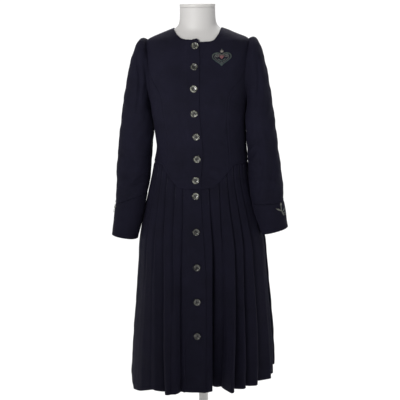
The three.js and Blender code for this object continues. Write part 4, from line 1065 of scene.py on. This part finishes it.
def skirt_knots(side, back, share):
    """Corners of the cloth's middle line in plan: angle, distance from the mean surface,
    rounding radius and divisions of the straight before it."""
    pleats = PLEATS[("back" if back else "front", side)]
    upper = not back and side < 0
    opened = openness(share)
    level = mix(waist_seam(0 if not back else 180), HEM, share)
    knots = []

    def corner(angle, r, loosens, parts, pressed=PRESSED):
        """Adds a corner whose rounding grows from the pressed one as the pleats open."""
        knots.append((angle, r, pressed + loosens * opened, parts, False))

    if back:
        knots.append((0 * share, 0 * share, 3, 0, True))
    else:
        lap = mix(LAP, SKIRT_LAP, smooth(share / 0.5)) if upper else UNDERLAP + 0 * share
        rise = SKIRT_LAP_RISE if upper else 0.0
        end = mix(*SKIRT_LAP_END, smooth(share / 0.5))
        knots.append((-angle_at(lap, level), rise + 0 * share, 3, 0, False))
        knots.append((0 * share, rise + 0 * share, 8, 5, False))
        knots.append((angle_at(SKIRT_LAP_FLAT, level), rise + 0 * share, 8, 3, False))
        knots.append((angle_at(end, level), 0 * share, 8, 2, False))
    middle = 4 * share * (1 - share)
    edges = [mix(pleat[0], pleat[1], share)
             + PLEAT_WANDER * middle * np.sin(4.6 * share + 2.3 * i + side)
             for i, pleat in enumerate(pleats)]
    from_angle, from_r = 1 + 0 * share, 0 * share
    for i, (_, _, ridge, drop, life) in enumerate(pleats):
        edge = edges[i]
        gap = np.minimum(edge - (edges[i - 1] if i else 1), MAX_UNDERFOLD)
        gone = smooth((share - life) / FADE_RUN)
        swell = opened * (1 + PLEAT_SWELL * np.sin(7.0 * share + 1.9 * i - side))
        top = opened * ridge
        low = top - 2 * PLEAT_STACK - swell * drop
        hidden = edge - UNDERFOLD * gap
        face = mix(from_r, top, np.clip((hidden - from_angle) / (edge - from_angle), 0, 1))
        under = np.minimum(low, face - 2 * PLEAT_STACK)
        side_of_crest = top - (0.15 + CREST_FALL * opened) * (1 - 0.9 * gone)
        fold = (PLEAT_STACK + 2 * opened) * (1 - gone) + 0.1 * gone
        corner(edge - 0.25 - CREST_INSET * opened, top, 9, 4)
        corner(edge, side_of_crest, 4, 1)
        corner(edge + 0.3 * gone, side_of_crest - fold, 1.5, 0)
        corner(mix(hidden, edge + DIED_TOP[0], gone),
               mix(under + PLEAT_STACK, side_of_crest - DIED_TOP[1], gone), 2, 2)
        corner(mix(hidden, edge + DIED_LOW[0], gone),
               mix(under, side_of_crest - DIED_LOW[1], gone), 2, 0)
        if i == len(pleats) - 1:
            break
        next_top = opened * pleats[i + 1][2]
        from_angle = mix(edge, edges[i + 1], FACE_RISE[0])
        climbed = mix(low + 2 * PLEAT_STACK, next_top, FACE_RISE[1])
        from_r = mix(climbed, mix(side_of_crest, next_top, 0.3), gone)
        corner(edge + mix(0.6 + 1.2 * opened, DIED_FOOT[0], gone),
               mix(low, side_of_crest - DIED_FOOT[1], gone), 7, 2, pressed=2)
        corner(from_angle, from_r, 14, 3, pressed=3)
    knots.append((90 + 0 * share, -2 * PLEAT_STACK - opened * SIDE_SEAM_DEPTH, 3, 3, True))
    return knots


def skirt_quarter(side, back):
    """The middle line of each level laid round the dress, its corners rounded, and the two
    faces of the cloth set off from it to either side."""
    share = np.concatenate([[0, 0.004, 0.01, 0.018], np.linspace(0.03, 1, SKIRT_ROWS - 4)])
    knots = skirt_knots(side, back, share)
    points, radii, between = [], [], []
    for k, (from_centre, r, radius, parts, seam) in enumerate(knots):
        angle = 180 - from_centre if back else from_centre
        z = mix(waist_seam(angle), hem_height(angle, side), share)
        meet = turn_for(SEAM_TUCK, angle, z) if seam else 0
        inward = -1 if (k > 0) == back else 1
        angle = angle + inward * meet
        point = dress_point(angle, z)
        normal = dress_normal(angle, z) * [1, 1, 0]
        tuck = -1.6 * bump(share / 0.006, 1)
        point = point + unit(normal) * (r + tuck - SKIRT_CLOTH / 2)[:, None]
        point[:, 0] += side * sway(z)
        points.append(point)
        if 0 < k < len(knots) - 1:
            radii.append(radius + 0 * share)
        if k > 0:
            between.append(parts)
    line = round_corners(np.stack(points, 1), np.stack(radii, 1), 4, between)
    waves = undulation(line * [side, 1, 1], 0.9, 42) * openness(share)[:, None]
    step = np.gradient(line, axis=1) * [1, 1, 0]
    normal = unit(np.stack([step[..., 1], -step[..., 0], 0 * step[..., 0]], -1))
    if back:
        normal = -normal
    body = unit(line * [1, 1, 0])
    line = line + body * waves[..., None]
    outer = (line + normal * SKIRT_CLOTH / 2) * [side, 1, 1]
    inner = (line - normal * SKIRT_CLOTH / 2) * [side, 1, 1]
    name = f"skirt_{'back' if back else 'front'}_{SIDE_NAMES[side]}"
    piece = cloth_shell(f"{name}_cloth", outer, inner, NAVY)
    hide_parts(name)
    return piece


# ---------------------------------------------------------------- buttons
def surface_frame(angle, z, lift):
    """Origin and axes (across, up, out) of a small thing that lies on the dress at an angle
    and level, raised by the lift."""
    point = dress_point(angle, z)
    out = dress_normal(angle, z)
    across = unit(np.cross(np.array([0.0, 0.0, 1.0]), out))
    lean = np.array([float(sway(z)), 0, 0])
    return point + out * lift + lean, across, np.cross(out, across), out


def front_lift(level):
    """How far the outside of the upper front lies over the dress's surface at its middle."""
    if level > NECK_LAP_LEVEL:
        return lap_rise(0, level)
    return LAP_RISE if level > waist_seam(0) else SKIRT_LAP_RISE


RIM_RADIUS = 6.9                 # the turned rim outside this gets a lighter pearl, a painted highlight on the raised rim
BUTTON_SEAT = 0.4                # gap between a button and the cloth
DISH = (6.4, 2.0)                # radius of the sunk middle and the height of its floor
HOLE_DEPTH = 1.5
HOLE_LIP = 0.5                   # width over which a hole's edge is rounded
DARK_BUTTONS = (1, 8, 9, 10, 11)    # painted shade: the darker shell for the four low buttons on the skirt, where less light falls, and for the second button
HOLE_RADIUS = 1.15
HOLE_OFFSET = 1.9
BUTTON_PROFILE = [(0, 2.0), (3.6, 2.0), (6.4, 2.25), (7.6, 2.9), (8.8, 3.5), (9.9, 3.35),
                  (10.8, 2.6), (11.0, 1.6), (10.5, 0.5), (9.6, 0.05)]


def button_grid(turned_by):
    """Top and edge of a button as a polar grid: the profile's height at each radius, with four
    holes sunk where a point is nearer than their radius to one of their centres."""
    corner = np.array(BUTTON_PROFILE)
    inner_r = np.linspace(0, DISH[0], 22)[1:]
    inner_z = np.interp(inner_r, corner[:, 0][:3], corner[:, 1][:3])
    outer = rounded_profile(corner[2:], 0.6, 3)
    r = np.concatenate([[0.02], inner_r, outer[1:, 0]])
    z = np.concatenate([[DISH[1]], inner_z, outer[1:, 1]])
    turn = np.linspace(0, 2 * math.pi, 48, endpoint=False)
    x, y = r[:, None] * np.cos(turn), r[:, None] * np.sin(turn)
    height = z[:, None] + 0 * x
    for quarter in range(4):
        at = math.pi / 4 + quarter * math.pi / 2 + turned_by
        near = np.hypot(x - HOLE_OFFSET * math.sqrt(2) * math.cos(at),
                        y - HOLE_OFFSET * math.sqrt(2) * math.sin(at))
        height = height - HOLE_DEPTH * smooth((HOLE_RADIUS + HOLE_LIP / 2 - near) / HOLE_LIP)
    return np.stack([x, y, height], -1)


def add_button(i, level):
    """A dished button with a raised rim, flat underneath, on the upper front."""
    lift = front_lift(level) + BUTTON_SEAT
    origin, across, up, out = surface_frame(0.0, float(level), lift)
    turned_by = 0.35 * math.sin(2.4 * i)
    grid = button_grid(turned_by)[::-1]
    placed = origin + grid @ np.stack([across, up, out])
    name = f"button_{i + 1:02d}"
    # Painted shade: the buttons in the list of dark ones get the darker shell.
    dark = i in DARK_BUTTONS
    piece = solid_of_rings(f"{name}_shell", placed, DARK_PEARL if dark else PEARL)
    # Painted highlight: the raised rim is given a lighter pearl than the dish.
    piece.data.materials.append(DARK_PEARL_RIM_HIGHLIGHT if dark else PEARL_RIM_HIGHLIGHT)
    rings = np.repeat(np.arange(len(grid) - 1), grid.shape[1])
    rim_highlight = np.zeros(len(piece.data.polygons), np.int32)
    radius = np.hypot(grid[:-1, 0, 0], grid[:-1, 0, 1])
    rim_highlight[:len(rings)] = (radius > RIM_RADIUS)[rings]
    piece.data.polygons.foreach_set("material_index", rim_highlight)
    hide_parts(name)
    return origin, across, up, out, turned_by


def button_threads(places):
    """Two parallel stays of thread over each button's holes, three strands in each."""
    paths = []
    for origin, across, up, out, turned_by in places:
        c, s = math.cos(turned_by), math.sin(turned_by)
        for row in (-1, 1):
            for strand in (-0.45, 0, 0.45):
                t = np.linspace(-1, 1, 7)
                a = t * (HOLE_OFFSET + 0.5)
                b = row * HOLE_OFFSET + strand + 0 * t
                h = 2.55 - 1.6 * np.abs(t) ** 3 + 0.05 * strand
                x, y = a * c - b * s, a * s + b * c
                paths.append(origin + x[:, None] * across + y[:, None] * up + h[:, None] * out)
    points, faces = tube_strips(np.array(paths), 0.34, 6)
    return make_mesh("button_sewing", points, faces, BLACK_THREAD)


def buttonhole_stitches():
    """Buttonholes across the upper front: close bars of thread along both lips of each slit
    and round its end towards the edge."""
    paths = []
    for level in BUTTON_HEIGHTS:
        origin, across, up, out = surface_frame(0.0, float(level), front_lift(level))
        slide = np.linspace(-11.5, 13.5, 44)
        for lip in (-1, 1):
            start = origin + slide[:, None] * across * -1 + up * lip * 0.25
            finish = start + up * lip * 1.7
            t = np.linspace(0, 1, 4)[None, :, None]
            arc = np.sin(math.pi * t) * 0.35 + 0.15
            paths.append(mix(start[:, None], finish[:, None], t) + out * arc)
    points, faces = tube_strips(np.concatenate(paths), 0.27, 4)
    return make_mesh("buttonhole_stitches", points, faces, NAVY_THREAD)


def pleat_stitches():
    """Edge stitching that holds the top of each pleat: short threads in a row just inside the
    folded edge, from the waist seam down."""
    paths = []
    for (where, side), pleats in PLEATS.items():
        for angle, _, _, _, _ in pleats:
            at = 180 - angle if where == "back" else angle
            top = waist_seam(at)
            run = 26 + 22 * abs(math.sin(1.7 * angle))
            z = top - 4 - np.arange(0, run, 3.3)[:, None] - np.linspace(0, 2.3, 4)[None, :]
            inward = 1 if where == "back" else -1
            place = at + inward * turn_for(2.2, at, top)
            point = dress_point(place + 0 * z, z)
            normal = dress_normal(place + 0 * z, z)
            arch = 0.05 + 0.2 * np.sin(np.linspace(0, math.pi, 4))[None, :]
            lean = np.stack([sway(z), 0 * z, 0 * z], -1)
            paths.append((point + normal * arch[..., None]) * [side, 1, 1] + lean)
    points, faces = tube_strips(np.concatenate(paths), 0.25, 4)
    return make_mesh("pleat_stitches", points, faces, NAVY_THREAD)


# ---------------------------------------------------------------- embroidery
HEART_CENTRE = (82.0, 1366.0)    # on the left front: x and level
HEART_SQUAT = 0.76               # the motif is this much lower than a plain heart
CUFF_GRID = (60, 240)            # rows and columns of the cuff's surface under a sprig
CUFF_COLUMN = 0.68               # how wide one of these columns counts for a sprig
MOTIF_FOOT = 58                  # from the cuff's upper seam down to a sprig's zero level
THREADS = {
    "grey": (0.16, 0.165, 0.145), "green": (0.045, 0.07, 0.052), "teal": (0.025, 0.058, 0.055),
    "rose": (0.17, 0.055, 0.06), "cream": (0.26, 0.25, 0.21),
}


def on_left_front(x, z, height):
    """Points of the left front at x and level z, raised over its cloth and drag lines."""
    angle = angle_at(x, z)
    point = dress_point(angle, z)
    lines = bodice_relief(point, False, 1)
    return point + dress_normal(angle, z) * (height + lines)[..., None]


def on_left_cuff(a, b, height):
    """Points on the outside of the left cuff, a forwards from its outer edge and b up."""
    rows, columns = CUFF_GRID
    turn = np.linspace(0, 360, columns, endpoint=False)
    rings, at = cuff_rings(1, turn, rows)
    normal = grid_normals(rings, True)
    normal = normal * np.sign((normal * (rings - rings.mean(1, keepdims=True))).sum(-1).mean())
    column = a / CUFF_COLUMN % columns
    row = np.clip((MOTIF_FOOT - b) / at[-1] * (rows - 1), 0, rows - 1.01)
    i, j = row.astype(int), column.astype(int) % columns
    u, v = (row - i)[..., None], (column - np.floor(column))[..., None]
    k = (j + 1) % columns
    point = mix(mix(rings[i, j], rings[i, k], v), mix(rings[i + 1, j], rings[i + 1, k], v), u)
    return point + normal[i, j] * height[..., None]


def satin(line, widths, pitch, place, slant=0.5):
    """Satin stitch along a flat line: arched threads side by side, each lying across the
    line over its width there, slanting forward by a share of the width."""
    line = np.array(line, float)
    length = np.concatenate([[0], np.cumsum(np.linalg.norm(np.diff(line, axis=0), axis=-1))])
    at = np.arange(0, length[-1], pitch)
    centre = np.stack([np.interp(at, length, line[:, k]) for k in (0, 1)], -1)
    width = np.interp(at / length[-1], np.linspace(0, 1, len(widths)), widths)
    ahead = unit(np.gradient(centre, axis=0))
    across = np.stack([-ahead[:, 1], ahead[:, 0]], -1) + ahead * slant
    t = np.linspace(-0.5, 0.5, 6)
    flat = centre[:, None] + across[:, None] * (width[:, None] * t)[..., None]
    arch = 0.35 + 0.55 * np.cos(math.pi * t)[None, :] * np.minimum(1, width / 3)[:, None]
    return place(flat[..., 0], flat[..., 1], arch)


def heart_line(size, start, end, count=90):
    """Part of a heart: x = 16 sin^3 t, y = 13 cos t - 5 cos 2t - 2 cos 3t - cos 4t, scaled."""
    t = np.linspace(start, end, count)
    x = 16 * np.sin(t) ** 3
    y = 13 * np.cos(t) - 5 * np.cos(2 * t) - 2 * np.cos(3 * t) - np.cos(4 * t)
    return np.stack([x, y], -1) * size


def spiral(centre, radius, start, turns, shrink=0.3, count=40):
    """A curl: a circle's arc whose radius shrinks on its way."""
    t = np.linspace(0, 1, count)
    r = radius * (1 - (1 - shrink) * t)
    angle = start + 2 * math.pi * turns * t
    return np.stack([centre[0] + r * np.cos(angle), centre[1] + r * np.sin(angle)], -1)


def leaf(base, tip):
    return np.linspace(base, tip, 12)


LEAF_WIDTHS = [0.6, 2.6, 3.6, 3.0, 0.6]


def heart_motif():
    """A folk heart: a heart-shaped band, a tulip inside it between two curls and two leaves,
    and a small flower over its cleft. Threads by colour."""
    def place(x, y, height):
        return on_left_front(HEART_CENTRE[0] + x, HEART_CENTRE[1] + HEART_SQUAT * y, height)

    made = {name: [] for name in THREADS}
    add = {name: (lambda *args, kept=kept, **more: kept.append(satin(*args, place=place, **more)))
           for name, kept in made.items()}
    low = (0, -6)
    upper = heart_line(1.72, 0.35, 1.9) + low
    add["green"](upper, [1.6, 3.0, 2.6, 1.8], 0.62)
    add["green"](upper * [-1, 1], [1.6, 3.0, 2.6, 1.8], 0.62, slant=-0.5)
    lower = heart_line(1.72, 1.9, math.pi) + low
    add["teal"](lower, [1.8, 3.0, 3.2], 0.62)
    add["teal"](lower * [-1, 1], [1.8, 3.0, 3.2], 0.62, slant=-0.5)
    inner = heart_line(1.30, 0.5, math.pi - 0.2) + low
    add["grey"](inner, [1.1, 1.3, 1.1], 0.7)
    add["grey"](inner * [-1, 1], [1.1, 1.3, 1.1], 0.7, slant=-0.5)
    for s in (1, -1):
        add["grey"](spiral((s * 12.5, 3.5), 5.2, math.pi * (0.5 - 0.5 * s), -1.25 * s), [1.8, 1.2],
                    0.6)
        add["green"](leaf((s * 2, -16), (s * 12, -8)), LEAF_WIDTHS, 0.6)
        add["rose"](leaf((s * 1.5, -7), (s * 5.5, 6)), [1.2, 4.6, 4.2, 1.0], 0.6)
        add["teal"](leaf((s * 14, 14), (s * 19, 8)), [0.8, 2.2, 0.8], 0.6)
    add["rose"](leaf((0, -9), (0, 8)), [2.0, 4.8, 4.0, 0.8], 0.6)
    add["teal"](leaf((0, -24), (0, -12)), [2.6, 1.4, 1.0], 0.6)
    for k in range(6):
        at = math.pi / 2 + k * math.pi / 3
        base = np.array([0, 20.0]) + 1.4 * np.array([math.cos(at), math.sin(at)])
        tip = np.array([0, 20.0]) + 5.4 * np.array([math.cos(at), math.sin(at)])
        add["cream"](leaf(base, tip), [1.0, 2.4, 2.6, 0.8], 0.6)
    add["rose"](leaf((-1.2, 20), (1.2, 20)), [1.2, 2.4, 1.2], 0.5)
    add["grey"](leaf((0, 26.5), (0, 30)), [0.6, 1.8, 0.6], 0.5)
    return made


CUFF_MOTIF_PLACE = {1: 14, -1: 2}    # forwards from the cuff's outer edge


def cuff_motif(mirror):
    """A sprig: a stem with a curl at its foot, two leaves and a bud."""
    def place(x, y, height):
        spot = on_left_cuff(CUFF_MOTIF_PLACE[mirror] + x, y + 9, height)
        return spot * [mirror, 1, 1]

    made = {"grey": [], "green": []}
    stem = np.stack([4 * np.sin(np.linspace(0, 2.4, 30)), np.linspace(4, 40, 30)], -1)
    made["grey"].append(satin(stem, [1.4, 1.6, 1.2], 0.62, place))
    made["grey"].append(satin(spiral((-4.5, 8), 6.5, 0.4, 0.9), [2.0, 1.4], 0.62, place))
    made["grey"].append(satin(leaf((4, 22), (15, 33)), [0.8, 4.6, 5.0, 0.8], 0.62, place))
    made["green"].append(satin(leaf((3, 18), (-8, 28)), [0.8, 3.4, 3.6, 0.8], 0.62, place))
    made["grey"].append(satin(leaf((3, 38), (2, 49)), [0.8, 4.2, 4.0, 0.6], 0.62, place))
    return made


def embroidery():
    """All motifs, one piece for each colour of thread."""
    strands = heart_motif()
    for mirror in (1, -1):
        for name, parts in cuff_motif(mirror).items():
            strands[name].extend(parts)
    pieces = []
    for name, parts in strands.items():
        points, faces = tube_strips(np.concatenate(parts), 0.36, 5)
        material = thread_material(f"{name}_silk", THREADS[name], 0.42, 0.2)
        pieces.append(make_mesh(f"embroidery_{name}", points, faces, material))
    return pieces


# ---------------------------------------------------------------- dress form and stand
FORM_TURNS = 120
HIPS_TOP = 1050
TORSO_LEVELS = (1075, 1447)
NECK_FOOT = 1453
UNDER_CLOTH = 6                  # how far the torso lies inside the cloth
UNDER_SHOULDER = 4.2             # the same on the shoulders
TIP_ROUNDING = 7                 # and how much further in at the tips of the shoulders


def torso_rings():
    """Hips, the torso inside the dress, closer under it towards the neck and on the
    shoulders, and the neck."""
    angle = np.linspace(0, 360, FORM_TURNS, endpoint=False)
    hips = section_point(HIPS, angle[None, :], np.linspace(FORM_BOTTOM, HIPS_TOP, 30)[:, None])
    z = np.linspace(*TORSO_LEVELS, 60)[:, None]
    sideways = np.abs(np.sin(np.radians(angle)))[None, :]
    on_shoulder = smooth((z - 1395) / 25) * smooth((sideways - 0.3) / 0.5)
    tip = smooth((sideways - 0.75) / 0.2) * (1 - smooth((z - 1412) / 14))
    under = mix(UNDER_CLOTH - 2 * smooth((z - 1380) / 30), UNDER_SHOULDER, on_shoulder)
    inset = (under + TIP_ROUNDING * tip + CLOTH)[..., None]
    torso = dress_point(angle[None, :], z) - dress_normal(angle[None, :], z) * inset
    neck = section_point(NECK, angle[None, :], np.linspace(NECK_FOOT, NECK_CUT, 24)[:, None])
    rings = np.concatenate([hips, torso, neck])
    rings[..., 0] += sway(rings[..., 2])
    return rings


def flat_to(grid, level, steps):
    """Rounds the open end of a grid over to a flat level: the last ring drawn in on a quarter
    circle."""
    last = grid[-1]
    rise = level - last[:, 2].mean()
    turn = np.linspace(0, math.pi / 2, steps)[1:]
    rings = []
    for a in turn:
        inset = abs(rise) * (1 - math.cos(a))
        ring = last.copy()
        ring[:, :2] -= unit(last[:, :2]) * inset
        ring[:, 2] = last[:, 2] + rise * math.sin(a)
        rings.append(ring)
    return np.concatenate([grid, np.array(rings)])


def dress_form():
    torso = torso_rings()
    low = flat_to(torso[:1], FORM_BOTTOM - 0.01, 2)[1:]
    body = solid_of_rings("form_torso_shell", np.concatenate([low, torso]), SHELL)
    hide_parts("form_torso")
    angle = np.linspace(0, 360, FORM_TURNS, endpoint=False)
    ring = section_point(NECK, angle, NECK_CUT)
    out = unit(ring * [1, 1, 0])
    profile = rounded_profile([(-0.6, 0.3), (0.5, 0.3), (0.5, 9.0), (-4.0, 9.0), (-14, 9.0)], 2.2)
    rings = np.stack([ring + out * r + [0, 0, h] for r, h in profile])
    cap = solid_of_rings("form_neck_cap_disc", rings, CAP)
    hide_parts("form_neck_cap")
    return [body, cap]


def stand():
    """Pole with a welded foot, and a heavy round base."""
    pole = rounded_profile([
        (0.05, BASE_HEIGHT + 0.3), (FOOT_RADIUS, BASE_HEIGHT + 0.3),
        (FOOT_RADIUS, BASE_HEIGHT + 5), (POLE_RADIUS + 4, BASE_HEIGHT + 9),
        (POLE_RADIUS, BASE_HEIGHT + 20),
        (POLE_RADIUS, FORM_BOTTOM - 60), (POLE_RADIUS, FORM_BOTTOM - 1.5),
        (POLE_RADIUS - 1.5, FORM_BOTTOM - 0.3), (0.05, FORM_BOTTOM - 0.3)], 2.5)
    post = solid_of_rings("stand_pole_tube", turned(pole, 64), PAINT)
    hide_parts("stand_pole")
    rim = rounded_profile([
        (0.05, 0), (BASE_RADIUS - 1, 0), (BASE_RADIUS, 4), (BASE_RADIUS, 8),
        (BASE_RADIUS - 6, BASE_HEIGHT - 1), (BASE_RADIUS - 16, BASE_HEIGHT),
        (0.05, BASE_HEIGHT)], 3)
    base = solid_of_rings("stand_base_disc", turned(rim, 128), PAINT)
    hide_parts("stand_base")
    return [post, base]


# ---------------------------------------------------------------- camera and light
CAMERA_PLACE = (0.4509, -3.6724, 1.600)
CAMERA_AIM = (0.0, 0.0, 0.905)
CAMERA_ROLL = math.radians(-0.9)
FOCAL_PIXELS = 1177.0            # for a picture 400 pixels wide
PICTURE = 400.0
OFF_CENTRE = 0.5 / PICTURE       # the picture's centre lies half a pixel right of the aim
FLOOR_REACH = 200.0              # metres from the stand to the floor's far edges
ROOM_LIGHT = 0.30
# Lamps: name, place, aim, size in metres, watts, colour and spread in degrees.
LAMPS = [
    ("key", (-1.0, -2.5, 1.95), (0, 0, 1.38), (0.8, 0.8), 3.4, (1, 0.99, 0.98), 45),
    ("fill", (2.4, -2.6, 1.7), (0, 0, 1.0), (1.8, 1.8), 2, (1, 1, 1), 180),
]
DAYLIGHT = 3.5
DAYLIGHT_SIZE = 50               # degrees of sky that it comes from
DAYLIGHT_TILT, DAYLIGHT_TURN = -40, -6


def add_camera():
    data = bpy.data.cameras.new("camera")
    data.sensor_width = 36.0
    data.lens = FOCAL_PIXELS / PICTURE * data.sensor_width
    data.shift_x = -OFF_CENTRE
    data.clip_end = 2 * FLOOR_REACH
    camera = bpy.data.objects.new("camera", data)
    bpy.context.scene.collection.objects.link(camera)
    place, aim = Vector(CAMERA_PLACE), Vector(CAMERA_AIM)
    ahead = (aim - place).normalized()
    right = ahead.cross(Vector((0, 0, 1))).normalized()
    up = right.cross(ahead)
    c, s = math.cos(CAMERA_ROLL), math.sin(CAMERA_ROLL)
    across, over = right * c + up * s, up * c - right * s
    turn = Matrix((across, over, -ahead)).transposed()
    camera.matrix_world = Matrix.Translation(place) @ turn.to_4x4()
    bpy.context.scene.camera = camera


def add_daylight():
    """Even light from high behind, which whitens the floor and leaves the front to the key."""
    data = bpy.data.lights.new("daylight", "SUN")
    data.energy = DAYLIGHT
    data.angle = math.radians(DAYLIGHT_SIZE)
    lamp = bpy.data.objects.new("daylight", data)
    lamp.rotation_euler = (math.radians(DAYLIGHT_TILT), 0, math.radians(DAYLIGHT_TURN))
    bpy.context.scene.collection.objects.link(lamp)


def add_light(name, place, aim, size, power, colour, spread):
    data = bpy.data.lights.new(name, "AREA")
    data.shape = "RECTANGLE"
    data.size, data.size_y = size
    data.energy = power
    data.color = colour
    data.spread = math.radians(spread)
    lamp = bpy.data.objects.new(name, data)
    lamp.location = place
    direction = Vector(aim) - Vector(place)
    lamp.rotation_euler = direction.to_track_quat("-Z", "Y").to_euler()
    bpy.context.scene.collection.objects.link(lamp)


def add_studio():
    """A pale floor that runs far back, a dim even room with a white backdrop, two soft lamps
    and the daylight."""
    floor = bpy.data.meshes.new("floor")
    far = FLOOR_REACH
    floor.from_pydata([(-far, -far, 0), (far, -far, 0), (far, far, 0), (-far, far, 0)], [],
                      [(0, 1, 2, 3)])
    material, tree, shader = new_material("floor_paper", (0.9, 0.9, 0.9, 1))
    shade = node(tree, "TexNoise", Vector=node(tree, "TexCoord").outputs["Object"],
                 Scale=0.8, Detail=2.0).outputs["Fac"]
    tree.links.new(blend_colour(tree, shade, (0.93, 0.93, 0.93, 1), (0.96, 0.96, 0.96, 1)),
                   shader.inputs["Base Color"])
    shader.inputs["Roughness"].default_value = 0.9
    shader.inputs["Specular IOR Level"].default_value = 0.1
    floor.materials.append(material)
    sheet = bpy.data.objects.new("floor", floor)
    bpy.context.scene.collection.objects.link(sheet)
    world = bpy.data.worlds.new("room")
    world.use_nodes = True
    tree = world.node_tree
    room = tree.nodes["Background"]
    room.inputs["Color"].default_value = (1, 1, 1, 1)
    room.inputs["Strength"].default_value = ROOM_LIGHT
    backdrop = node(tree, "Background", Color=(1, 1, 1, 1), Strength=1.0)
    seen = node(tree, "LightPath").outputs["Is Camera Ray"]
    both = node(tree, "MixShader", i0=seen, i1=room.outputs[0], i2=backdrop.outputs[0])
    tree.links.new(both.outputs[0], tree.nodes["World Output"].inputs["Surface"])
    bpy.context.scene.world = world
    for lamp in LAMPS:
        add_light(*lamp)
    add_daylight()
    bpy.context.scene.view_settings.view_transform = "Standard"


# ---------------------------------------------------------------- putting it together
def declare(piece, key):
    width, length, area = CUTS[key]


add_camera()
add_studio()
for side in (1, -1):
    name = SIDE_NAMES[side]
    for kind in PANEL_NAMES:
        key = f"bodice_front_{name}" if kind == "front" else PANEL_NAMES[kind]
        declare(bodice_panel(kind, side), key)
    declare(sleeve(side), "sleeve")
    declare(cuff(side), f"cuff_{name}")
    declare(skirt_quarter(side, False), f"skirt_front_{name}")
    declare(skirt_quarter(side, True), "skirt_back")
button_places = [add_button(i, level) for i, level in enumerate(BUTTON_HEIGHTS)]
button_threads(button_places)
buttonhole_stitches()
pleat_stitches()
embroidery()
dress_form()
stand()
